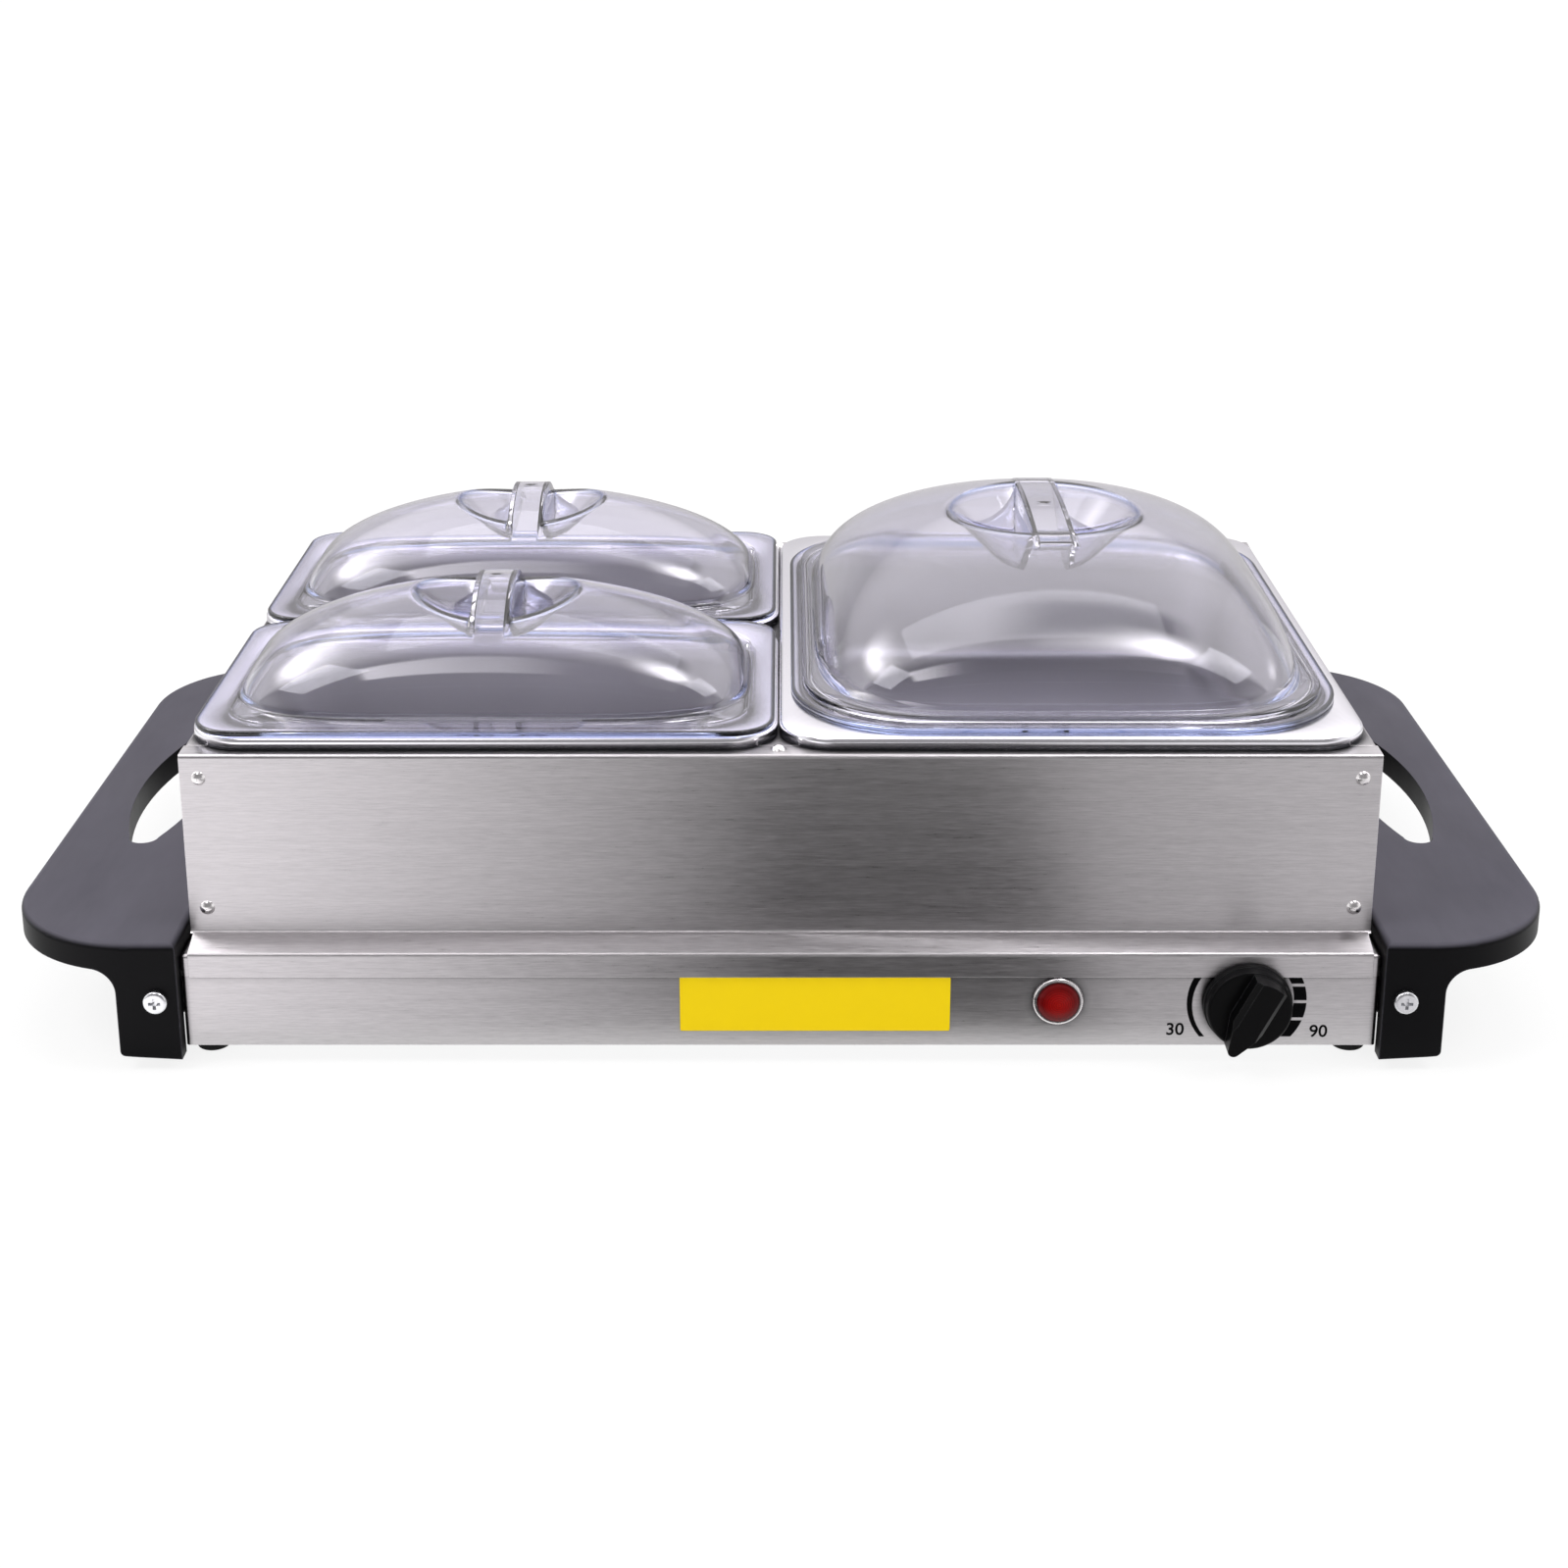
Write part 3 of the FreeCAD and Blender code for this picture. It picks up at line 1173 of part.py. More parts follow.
# ---- lids ------------------------------------------------------------------------------------------
def dome_outline(half_width, half_depth, squareness, z):
    """Closed curve through points on a superellipse."""
    points = []
    for i in range(lid_points):
        angle = 2 * math.pi * i / lid_points
        c, s = math.cos(angle), math.sin(angle)
        reach = (abs(c) ** squareness + abs(s) ** squareness) ** (-1 / squareness)
        points.append(V(half_width * reach * c, half_depth * reach * s, z))
    curve = Part.BSplineCurve()
    curve.interpolate(points, PeriodicFlag=True)
    return Part.Wire([curve.toShape()])


def profile_rise(share, profile):
    """Height of the dome's profile, 0 to 1, at a share of its half width. Profile 2 is an ellipse."""
    return (1 - share ** profile) ** (1 / profile)


def make_dome(half_width, half_depth, height, profile, foot_squareness, foot, top_share):
    """Pillow whose outline turns from square-shouldered at its foot to oval at its top."""
    wires = []
    steepest = math.acos(top_share)
    for i in range(lid_sections):
        share = math.cos(steepest * i / (lid_sections - 1))
        rise = profile_rise(share, profile)
        squareness = 2 + (foot_squareness - 2) * (1 - rise)
        wires.append(dome_outline(half_width * share, half_depth * share, squareness,
                                  foot + height * rise))
    return Part.makeLoft(wires, True, False)


def make_lid(lid, pan, dome, grip, step):
    """Clear lid: flange, locating rib, dome, and a grip of two pockets either side of a bar."""
    width, depth, corner = lid
    half_width, half_depth, height, profile, squareness = dome
    grip_radius, floor_radius, grip_depth, bar, bar_end = grip
    opening, opening_corner = pan_opening(*pan[:2]), pan[2]
    foot = rim_top + lid_flange
    top_share = lid_top_share * grip_radius / max(half_width, half_depth)
    outer = make_dome(half_width, half_depth, height, profile, squareness, foot, top_share)
    inner = make_dome(half_width - lid_wall, half_depth - lid_wall, height - lid_wall,
                      profile, squareness, foot, top_share)

    flange = prism(rounded_rectangle(width, depth, corner, rim_top), lid_flange)
    flange = flange.makeFillet(lid_edge, edges_at(flange, foot))
    ring = opening[0] - 2 * lid_rib_clearance, opening[1] - 2 * lid_rib_clearance
    rib_corner = opening_corner - lid_rib_clearance
    rib = prism(rounded_rectangle(ring[0], ring[1], rib_corner, rim_top - lid_rib_depth), lid_rib_depth)
    rib = rib.cut(prism(rounded_rectangle(ring[0] - 2 * lid_rib_width, ring[1] - 2 * lid_rib_width,
                                          rib_corner - lid_rib_width, rim_top - lid_rib_depth),
                        lid_rib_depth))
    pieces = [flange, rib, outer]
    if step > 0:
        bead_width = 2 * (half_width + large_lid_step_margin)
        bead_depth = 2 * (half_depth + large_lid_step_margin)
        bead_corner = corner - (width - bead_width) / 2
        bead = prism(rounded_rectangle(bead_width, bead_depth, bead_corner, rim_top), lid_flange + step)
        pieces.append(bead.makeFillet(lid_edge, edges_at(bead, foot + step)))
    lid_body = fuse(pieces)

    top = foot + height
    floor = top - grip_depth
    edge_rise = height * profile_rise(grip_radius / half_width, profile)
    slope = (grip_radius - floor_radius) / (foot + edge_rise - floor)
    rise = grip_depth + 4 * slack

    def pockets(offset, half_bar):
        spread = offset * math.sqrt(1 + slope ** 2) - offset * slope
        cone = Part.makeCone(floor_radius + spread, floor_radius + spread + slope * (rise + offset),
                             rise + offset, V(0, 0, floor - offset), UP)
        return cone.cut(box(-half_bar, half_bar, -half_depth, half_depth,
                            floor - offset - slack, top + rise))

    # the bar's back is an arch that meets the dome at bar_end in front and behind
    end_rise = height * profile_rise(bar_end / half_depth, profile)
    arch_height = height + bar_proud
    arch_half = bar_end / math.sqrt(1 - (end_rise / arch_height) ** 2)
    arch = make_arch(arch_half, arch_height, foot, bar)
    arch_end = bar_end + arch_run_out
    arch = arch.common(box(-bar, bar, -arch_end, arch_end, floor, top + bar_proud + slack))
    cups = pockets(lid_wall, bar / 2 - lid_wall).common(outer)
    under_bar = arch.common(inner)
    cavity = inner.cut(cups)
    skirt_hole = prism(dome_outline(half_width - lid_wall, half_depth - lid_wall, squareness,
                                    rim_top - lid_rib_depth - slack),
                       lid_flange + lid_rib_depth + slack)
    lid_body = fuse([lid_body, arch.cut(under_bar)])
    lid_body = lid_body.cut(cavity).cut(skirt_hole).cut(pockets(0.0, bar / 2))
    gate = rod(gate_radius, gate_depth + slack, V(0, 0, top + bar_proud - gate_depth), UP)
    return lid_body.cut(gate).removeSplitter()


def make_arch(half_depth, height, foot, width):
    """Half-elliptical slab across the x axis."""
    def point(angle):
        return V(-width / 2, half_depth * math.cos(angle), foot + height * math.sin(angle))
    curve = Part.BSplineCurve()
    curve.interpolate([point(math.pi * i / (arch_points - 1)) for i in range(arch_points)])
    base_line = Part.LineSegment(point(math.pi), point(0.0)).toShape()
    return Part.Face(Part.Wire([curve.toShape(), base_line])).extrude(V(width, 0, 0))


# ---- where the pans stand ----------------------------------------------------------------------------
large_x = pan_line_x + (pan_gap + large_pan_width) / 2
small_x = pan_line_x - (pan_gap + small_pan_width) / 2
front_y = -(pan_gap + small_pan_depth) / 2
rear_y = -front_y


def placed(shape, x, y):
    return shape.translated(V(x, y, 0))


# ---- build and save ----------------------------------------------------------------------------------
os.makedirs("parts", exist_ok=True)

save("base_housing", make_base_housing())
save("base_bottom_plate", make_bottom_plate())
foot_names = ("foot_front_left", "foot_rear_left", "foot_front_right", "foot_rear_right")
foot = make_foot()
for name, centre in zip(foot_names, foot_centres):
    save(name, placed(foot, centre.x, centre.y))
save("foot_screws", make_foot_screws())
save("foot_nuts", make_foot_nuts())
save("bottom_plate_screws", make_plate_screws())

right_handle = make_right_handle()
save("right_handle", right_handle)
save("left_handle", mirrored(right_handle))
save("handle_brackets", at_four_corners(make_bracket()))
save("bracket_rivets", make_bracket_rivets())
save("handle_screws", make_handle_screws())

save("thermostat_body", make_thermostat_body())
save("thermostat_plate", make_thermostat_plate())
save("thermostat_screws", make_thermostat_screws())
save("thermostat_spindle", make_spindle())
save("control_knob", make_knob())

save("indicator_bezel", make_bezel())
save("indicator_lens", make_lens())
save("indicator_lamp", make_lamp())
save("indicator_nut", make_indicator_nut())
save("cable_gland", make_cable_gland())
save("gland_nut", make_gland_nut())

save("heating_element", make_heating_element())
save("element_clamps", make_element_clamps())
save("heat_reflector", make_reflector())
save("reflector_standoffs", make_standoffs())
save("thermal_fuse", make_thermal_fuse())
save("terminal_block", make_terminal_block())
save("earth_stud", make_earth_stud())
save("internal_leads", make_leads())

front_panel = make_front_panel()
side_panel = make_side_panel()
save("frame_front_panel", front_panel)
save("frame_rear_panel", front_panel.mirror(V(0, 0, 0), BACK))
save("frame_right_side", side_panel)
save("frame_left_side", mirrored(side_panel))
save("frame_centre_bar", make_centre_bar())
save("frame_pan_divider", make_pan_divider())
save("frame_rivets", make_frame_rivets())

small_pan = make_pan(small_pan_width, small_pan_depth, small_pan_corner)
save("large_pan", placed(make_pan(large_pan_width, large_pan_depth, large_pan_corner), large_x, 0))
save("front_pan", placed(small_pan, small_x, front_y))
save("rear_pan", placed(small_pan, small_x, rear_y))

small_lid_width = small_pan_width - 2 * small_lid_inset_x
small_lid_depth = small_pan_depth - 2 * small_lid_inset_y
small_lid = make_lid((small_lid_width, small_lid_depth, small_lid_corner),
                     (small_pan_width, small_pan_depth, small_pan_corner),
                     (small_lid_width / 2 - small_dome_margin_x,
                      small_lid_depth / 2 - small_dome_margin_y, small_dome_height,
                      small_dome_profile, small_dome_squareness),
                     (small_grip_radius, small_grip_floor_radius, small_grip_depth,
                      small_bar_width, small_bar_end), 0.0)
large_lid_width = large_pan_width - 2 * large_lid_inset
large_lid_depth = large_pan_depth - 2 * large_lid_inset
large_lid = make_lid((large_lid_width, large_lid_depth, large_lid_corner),
                     (large_pan_width, large_pan_depth, large_pan_corner),
                     (large_lid_width / 2 - large_dome_margin_x,
                      large_lid_depth / 2 - large_dome_margin_y, large_dome_height,
                      large_dome_profile, large_dome_squareness),
                     (large_grip_radius, large_grip_floor_radius, large_grip_depth,
                      large_bar_width, large_bar_end), large_lid_step)
save("large_lid", placed(large_lid, large_x, 0))
save("front_lid", placed(small_lid, small_x, front_y))
save("rear_lid", placed(small_lid, small_x, rear_y))
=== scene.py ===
import json
import math

import bpy
import numpy as np
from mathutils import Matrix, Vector


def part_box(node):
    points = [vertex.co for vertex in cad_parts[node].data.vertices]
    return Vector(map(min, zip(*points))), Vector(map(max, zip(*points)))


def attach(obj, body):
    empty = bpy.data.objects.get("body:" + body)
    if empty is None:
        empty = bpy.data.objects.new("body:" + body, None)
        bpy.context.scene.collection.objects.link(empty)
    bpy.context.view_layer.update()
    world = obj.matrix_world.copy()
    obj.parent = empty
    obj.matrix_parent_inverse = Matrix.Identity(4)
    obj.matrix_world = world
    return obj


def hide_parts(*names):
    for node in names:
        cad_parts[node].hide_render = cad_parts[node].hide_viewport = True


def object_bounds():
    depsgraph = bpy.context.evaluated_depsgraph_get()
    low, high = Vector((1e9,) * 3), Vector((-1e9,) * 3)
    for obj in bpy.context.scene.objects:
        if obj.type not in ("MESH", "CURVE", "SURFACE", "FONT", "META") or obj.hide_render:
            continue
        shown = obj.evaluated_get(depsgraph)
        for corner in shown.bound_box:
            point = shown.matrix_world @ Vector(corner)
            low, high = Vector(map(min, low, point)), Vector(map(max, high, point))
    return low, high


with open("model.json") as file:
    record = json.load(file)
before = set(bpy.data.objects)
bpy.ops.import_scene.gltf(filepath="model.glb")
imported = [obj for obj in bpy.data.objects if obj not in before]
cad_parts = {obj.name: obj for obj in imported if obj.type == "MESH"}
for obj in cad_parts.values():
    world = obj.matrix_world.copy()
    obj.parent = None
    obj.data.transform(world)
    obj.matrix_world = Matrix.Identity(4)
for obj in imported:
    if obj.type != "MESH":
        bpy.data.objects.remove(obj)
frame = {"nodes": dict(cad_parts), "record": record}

cad_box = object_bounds()
nodes = frame["nodes"]
MM = 0.001                   # the script's own unit is the metre
SKIRT_FOOT, FRAME_TOP = (corner.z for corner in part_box("frame_front_panel"))

# ---- camera --------------------------------------------------------------------------------------
CAMERA_PLACE = (0.0015, -1.180, 0.5395)
CAMERA_PITCH = 16.87         # degrees below the horizon
CAMERA_LENS = 56.1           # millimetres, like the sensor
CAMERA_SENSOR = 36.0
CAMERA_SHIFT_Y = -0.14
CAMERA_CLIP = (0.01, 50.0)

# ---- clear lids ----------------------------------------------------------------------------------
WALL = 2.2 * MM
FLANGE = 2.5 * MM
RIB_DEPTH = 3.5 * MM
RIB_WIDTH = 1.8 * MM
RIB_INSET = 14.0 * MM        # rib's outside, from the pan rim's outside
RIB_CORNER_LEAST = 4.0 * MM
RIM_LIFT = 0.15 * MM         # keeps the flange's underside clear of the pan's rim
FOOT_FILLET = 2.2 * MM       # where the dome runs into its flange
INNER_FOOT_BEVEL = 1.0 * MM
INNER_FOOT_START = 0.5 * MM
BEAD_MARGIN = 6.0 * MM       # how far a stepped lid's ledge reaches past the dome
EDGE_ROUND = 0.8 * MM
EDGE_BREAK = 0.4 * MM        # on the lower edges
PAINTED_BLUE_ABOVE = 2.2 * MM   # the flange's painted blue edge fades out within this much of it
PAINTED_BLUE_BELOW = 2.4 * MM
BAR_PROUD = 2.0 * MM
BAR_STEEPNESS = 12.0         # how far the bar's sides drop per unit outwards
BAR_ROUND = 7.0 * MM
BAR_ROOT = 2.0 * MM          # rounding where the bar meets the dome
POCKET_LIP = 2.6 * MM        # rounding where a grip pocket meets the dome
POCKET_FLOOR_ROUND = 9.0 * MM
GATE_RADIUS = 2.2 * MM
GATE_SLOPE = 0.5 * MM
GATE_DEPTH = 0.5 * MM
LIP_PAINTED_BLUE = 1.8 * MM          # height over which a pocket's lip is painted blue
BAR_PAINTED_BLUE_OFFSET = 0.5 * MM   # the bar's painted blue side line, out from the side,
BAR_PAINTED_BLUE_WIDTH = 0.8 * MM    # its width
BAR_PAINTED_BLUE_SHARE = 0.8         # and its strength beside the lip's
BAR_PAINTED_BLUE_OVERLAP = 0.4 * MM  # a lip's blue ends this far inside the bar's side

GRID = 1.25 * MM             # spacing of a lid's points over its grip,
BAR_SIDE_GRID = 0.42 * MM    # across the bar's steep sides
GATE_GRID = 0.40 * MM        # and over the moulding gate
BAR_SIDE_BAND = (3.6 * MM, 3.4 * MM)   # inwards and outwards from a side of the bar
GATE_BAND = 2.8 * MM
COLLAR_RINGS = 11            # between the grip's points and the dome's level rings
LEVEL_RINGS = 22
FIRST_LEVEL_SHARE = 0.97     # height of the top level ring, from the lowest point of the grip's border
HALVINGS = 34

SMALL_LID = dict(half_width=118 * MM, half_depth=63 * MM, profile=1.75, squareness=4.2, corner=20 * MM,
                 grip=37.5 * MM, floor_radius=16 * MM, grip_depth=24.4 * MM, bar_width=18.7 * MM,
                 bar_end=36 * MM, bar_rise=BAR_PROUD, step=0.0, patch=(45 * MM, 44 * MM))
LARGE_LID = dict(half_width=115 * MM, half_depth=143.5 * MM, profile=2.0, squareness=4.8, corner=60 * MM,
                 grip=46.5 * MM, floor_radius=18 * MM, grip_depth=33 * MM, bar_width=21 * MM,
                 bar_end=54 * MM, bar_rise=-2.0 * MM, step=3.2 * MM, patch=(54 * MM, 60 * MM))

# ---- pans ----------------------------------------------------------------------------------------
PAN_RIM = 13.0 * MM
PAN_RIM_DROP = 5.7 * MM
PAN_RIM_ROUND = 2.2 * MM
PAN_RIM_CORNER = 25.0 * MM
PAN_MOUTH_ROUND = 2.5 * MM
PAN_FLOOR_ROUND = 10.0 * MM
PAN_DEPTH = 65.0 * MM
PAN_SHEET = 0.8 * MM
PAN_WALL = ((1.2 * MM, 12.0 * MM), (3.0 * MM, 24.0 * MM))   # how far in the wall is, at two depths
PAN_TAPER = 7.2 * MM         # and how far in it is where it bends into the floor
PAN_CORNERS = (("large_pan", 48 * MM), ("front_pan", 34 * MM), ("rear_pan", 34 * MM))
PAN_CORNER_STEPS = 10
PAN_BENDS = np.radians((0, 22.5, 45, 67.5, 90))

# ---- print and sticker on the control panel ------------------------------------------------------
SCALE_OUTER = 27.0 * MM
SCALE_THIN = 1.6 * MM        # width of the print at the cold end
SCALE_THICK = 6.6 * MM       # and at the hot end
SCALE_START = math.radians(225)
SCALE_SWEEP = math.radians(270)
SCALE_FOOT = 17.4 * MM       # the print is cut level this far below the knob's axis
SCALE_TOP = 20.5 * MM
SCALE_CUTS = (-SCALE_FOOT, -8.6 * MM, 0.0, 8.2 * MM, 15.6 * MM, SCALE_TOP)
SCALE_GAP = 1.5 * MM
SCALE_STEPS = 15
PRINT_THICKNESS = 0.06 * MM
PRINT_BOLD = 0.10 * MM
DIGIT_SIZE = 8.4 * MM
NUMBERS = (("scale_low_number", "30", -31.8 * MM, -14.0 * MM),   # places from the knob's axis
           ("scale_high_number", "90", 33.2 * MM, -15.0 * MM))
STICKER_X = (-45.5 * MM, 76.5 * MM)
STICKER_Z = (16.2 * MM, 42.9 * MM)
STICKER_CORNER = 0.8 * MM
STICKER_THICKNESS = 0.15 * MM

# ---- stage, in metres ----------------------------------------------------------------------------
FLOOR_HALF = 8.0
FLOOR_GREY = 0.92
FLOOR_GLOW = 1.06
SHADOW_KEPT = 0.20           # share of the floor's own shading that the eye sees near the object
SHADOW_REACH = (0.02, 0.30)  # and how far from the object it fades out
LIGHT_LEVEL = 0.62           # the surroundings as a source of light
LAMP_CARD_HEIGHT = 1.9
FLOOR_CARD_HEIGHT = 0.004
ROOM_X = (-5.0, 5.0)
REAR_LEVEL = 0.68            # grey of the room behind the object
CARD_TINT = (1.0, 0.975, 1.0)
SOFT_POWER = 1.6             # how fast a soft card fades out
# Levels of the cards at places along them:
FRONT_STOPS = ((-0.33, 1.55), (-0.08, 0.50), (0.0, 0.07), (0.13, 0.07), (0.165, 0.52), (0.32, 0.85))
OVERHEAD_STOPS = ((-3.49, 0.3), (-2.89, 2.4), (-0.74, 1.7), (3.46, 0.80))
SIDE_STOPS = ((-5.0, 1.0), (-2.2, 0.30), (2.2, 0.30), (5.0, 1.0))
STEP_STOPS = ((-0.95, 5.0), (-0.50, 3.2), (-0.28, 1.4), (-0.14, 0.45), (0.0, 0.25), (0.30, 0.25),
              (0.40, 0.45), (0.95, 0.8))


# ---- shader helpers ------------------------------------------------------------------------------
class Shader:
    """A Principled material and short ways to add nodes to it."""

    def __init__(self, name, colour, **sockets):
        self.material = bpy.data.materials.new(name)
        self.material.use_nodes = True
        self.nodes = self.material.node_tree.nodes
        self.links = self.material.node_tree.links
        self.bsdf = self.nodes["Principled BSDF"]
        self.bsdf.inputs["Base Color"].default_value = (*colour, 1)
        for socket, value in sockets.items():
            self.bsdf.inputs[socket.replace("_", " ")].default_value = value

    def add(self, kind, **values):
        node = self.nodes.new("ShaderNode" + kind)
        for key, value in values.items():
            setattr(node, key, value)
        return node

    def feed(self, source, target):
        self.links.new(source, target)

    def place(self, scale=(1, 1, 1)):
        """The object's own metres, scaled."""
        coordinates = self.add("TexCoord")
        mapping = self.add("Mapping")
        mapping.inputs["Scale"].default_value = scale
        self.feed(coordinates.outputs["Object"], mapping.inputs["Vector"])
        return mapping.outputs["Vector"]

    def parts(self, vector):
        """A vector's X, Y and Z."""
        split = self.add("SeparateXYZ")
        self.feed(vector, split.inputs["Vector"])
        return split.outputs

    def noise(self, scale, detail=3.0, rough=0.55):
        """Noise with a number of cells per metre, one for all axes or one for each."""
        texture = self.add("TexNoise")
        texture.inputs["Scale"].default_value = 1.0
        texture.inputs["Detail"].default_value = detail
        texture.inputs["Roughness"].default_value = rough
        scales = (scale, scale, scale) if isinstance(scale, float) else scale
        self.feed(self.place(scales), texture.inputs["Vector"])
        return texture.outputs["Fac"]

    def ranged(self, value, low, high, from_low=0.3, from_high=0.7):
        """From low to high as the value crosses a span, which is a noise's usual one if none is given."""
        node = self.add("MapRange")
        node.inputs["From Min"].default_value = from_low
        node.inputs["From Max"].default_value = from_high
        node.inputs["To Min"].default_value = low
        node.inputs["To Max"].default_value = high
        self.feed(value, node.inputs["Value"])
        return node.outputs["Result"]

    def mixed(self, factor, first, second):
        """Colour between two, each a tuple or an output."""
        node = self.add("Mix", data_type="RGBA")
        self.feed(factor, node.inputs["Factor"])
        for socket, colour in ((node.inputs[6], first), (node.inputs[7], second)):
            if isinstance(colour, tuple):
                socket.default_value = (*colour, 1)
            else:
                self.feed(colour, socket)
        return node.outputs[2]

    def math(self, operation, first, second=0.0):
        node = self.add("Math", operation=operation)
        for socket, value in zip(node.inputs, (first, second)):
            if isinstance(value, (int, float)):
                socket.default_value = value
            else:
                self.feed(value, socket)
        return node.outputs[0]

    def product(self, first, second):
        return self.math("MULTIPLY", first, second)

    def hypot(self, first, second):
        """Length of two perpendicular parts together."""
        squares = self.math("ADD", self.product(first, first), self.product(second, second))
        return self.math("SQRT", squares)

    def edges(self, radius):
        """1 along folded, cut and moulded edges, where a painted highlight goes."""
        bevel = self.add("Bevel", samples=4)
        bevel.inputs["Radius"].default_value = radius
        facing = self.add("VectorMath", operation="DOT_PRODUCT")
        self.feed(bevel.outputs["Normal"], facing.inputs[0])
        self.feed(self.add("NewGeometry").outputs["Normal"], facing.inputs[1])
        return self.ranged(facing.outputs["Value"], 1.0, 0.0, 0.75, 0.97)

    def crevices(self, distance, dark, light):
        """1 in narrow gaps, where little light gets in, down to 0 out in the open."""
        shade = self.add("AmbientOcclusion", samples=6)
        shade.inputs["Distance"].default_value = distance
        return self.ranged(shade.outputs["AO"], 1.0, 0.0, dark, light)

    def colour(self, output):
        self.feed(output, self.bsdf.inputs["Base Color"])

    def roughness(self, output):
        self.feed(output, self.bsdf.inputs["Roughness"])

    def bump(self, height, distance, strength, soften=0.0):
        """Surface relief, with sharp edges softened by a radius."""
        node = self.add("Bump")
        node.inputs["Strength"].default_value = strength
        node.inputs["Distance"].default_value = distance
        self.feed(height, node.inputs["Height"])
        if soften:
            bevel = self.add("Bevel", samples=4)
            bevel.inputs["Radius"].default_value = soften
            self.feed(bevel.outputs["Normal"], node.inputs["Normal"])
        self.feed(node.outputs["Normal"], self.bsdf.inputs["Normal"])


def toned(colour, share):
    """Colour made darker or lighter by a share."""
    return tuple(min(1.0, part * share) for part in colour)


# ---- materials -----------------------------------------------------------------------------------
def brushed_steel(name, grain):
    """Sheet steel with short fine scratches along one axis, 0 for x or 1 for y, with painted shade in the
    gaps under the pans' rims and the frame's skirt, and a painted highlight along its edges.
    """
    steel, painted_edge_highlight, painted_gap_shade = (0.60, 0.583, 0.592), (0.95, 0.93, 0.94), (0.02, 0.02, 0.022)
    shader = Shader(name, steel, Metallic=1.0, Anisotropic=0.75, Anisotropic_Rotation=0.25)
    if grain == 0:
        tangent = shader.add("Tangent", direction_type="RADIAL", axis="Z")
        shader.feed(tangent.outputs["Tangent"], shader.bsdf.inputs["Tangent"])
    fine, streak = [1500.0] * 3, [420.0] * 3
    fine[grain], streak[grain] = 110.0, 14.0
    scratches = shader.noise(fine, detail=4.0, rough=0.65)
    bands = shader.noise(streak, detail=2.0)
    tone = shader.math("ADD", shader.product(scratches, 0.7), shader.product(bands, 0.3))
    brushed = shader.mixed(shader.ranged(tone, 0.0, 1.0), toned(steel, 0.78), toned(steel, 1.15))
    # Painted shade, only in the gap under the pans' rims and in the one under the frame's skirt:
    height = shader.parts(shader.place())["Z"]
    under_rims = shader.ranged(height, 0.0, 1.0, FRAME_TOP - 0.6 * MM, FRAME_TOP - 0.3 * MM)
    under_skirt = shader.ranged(height, 1.0, 0.0, SKIRT_FOOT, SKIRT_FOOT + 0.1 * MM)
    gaps = shader.math("ADD", shader.product(under_rims, shader.crevices(22 * MM, 0.70, 0.99)),
                       shader.product(under_skirt, shader.crevices(4 * MM, 0.40, 1.0)))
    shaded = shader.mixed(gaps, brushed, painted_gap_shade)
    # Painted highlight along the edges:
    shader.colour(shader.mixed(shader.edges(0.7 * MM), shaded, painted_edge_highlight))
    shader.roughness(shader.ranged(tone, 0.26, 0.40))
    shader.bump(scratches, 0.03 * MM, 0.35, soften=0.35 * MM)
    return shader.material


def pressed_steel(name, rim):
    """Deep-drawn pan: bright rolled rim, satin walls with soft blotches, and painted shade deep inside that
    darkens the walls low down and the floor most.
    """
    bright, satin_dark, satin_light = (0.88, 0.87, 0.91), (0.42, 0.415, 0.43), (0.50, 0.495, 0.51)
    # Painted shade deep in the pan: darker low on the walls and darkest on the floor:
    painted_low_wall_shade, painted_floor_shade = (0.30, 0.295, 0.31), (0.18, 0.177, 0.19)
    shader = Shader(name, bright, Metallic=1.0)
    below = shader.math("SUBTRACT", rim, shader.parts(shader.place())["Z"])
    past_rim = shader.ranged(below, 0.0, 1.0, 4 * MM, 14 * MM)
    down_wall = shader.ranged(below, 0.0, 1.0, 25 * MM, PAN_DEPTH)
    at_floor = shader.ranged(below, 0.0, 1.0, PAN_DEPTH - 5 * MM, PAN_DEPTH - 0.5 * MM)
    blotches = shader.ranged(shader.noise(9.0, detail=2.0), 0.0, 1.0)
    walls = shader.mixed(down_wall, shader.mixed(blotches, satin_dark, satin_light), painted_low_wall_shade)
    shader.colour(shader.mixed(past_rim, bright, shader.mixed(at_floor, walls, painted_floor_shade)))
    shader.roughness(shader.ranged(past_rim, 0.18, 0.50, 0.0, 1.0))
    return shader.material


def plated(name, colour, rough):
    """Plated or polished small part with slight mottling."""
    shader = Shader(name, colour, Metallic=1.0)
    mottle = shader.noise(500.0, detail=2.0)
    shader.roughness(shader.ranged(mottle, rough * 0.7, rough * 1.4))
    shader.colour(shader.mixed(shader.ranged(mottle, 0.0, 1.0), toned(colour, 0.85), colour))
    return shader.material


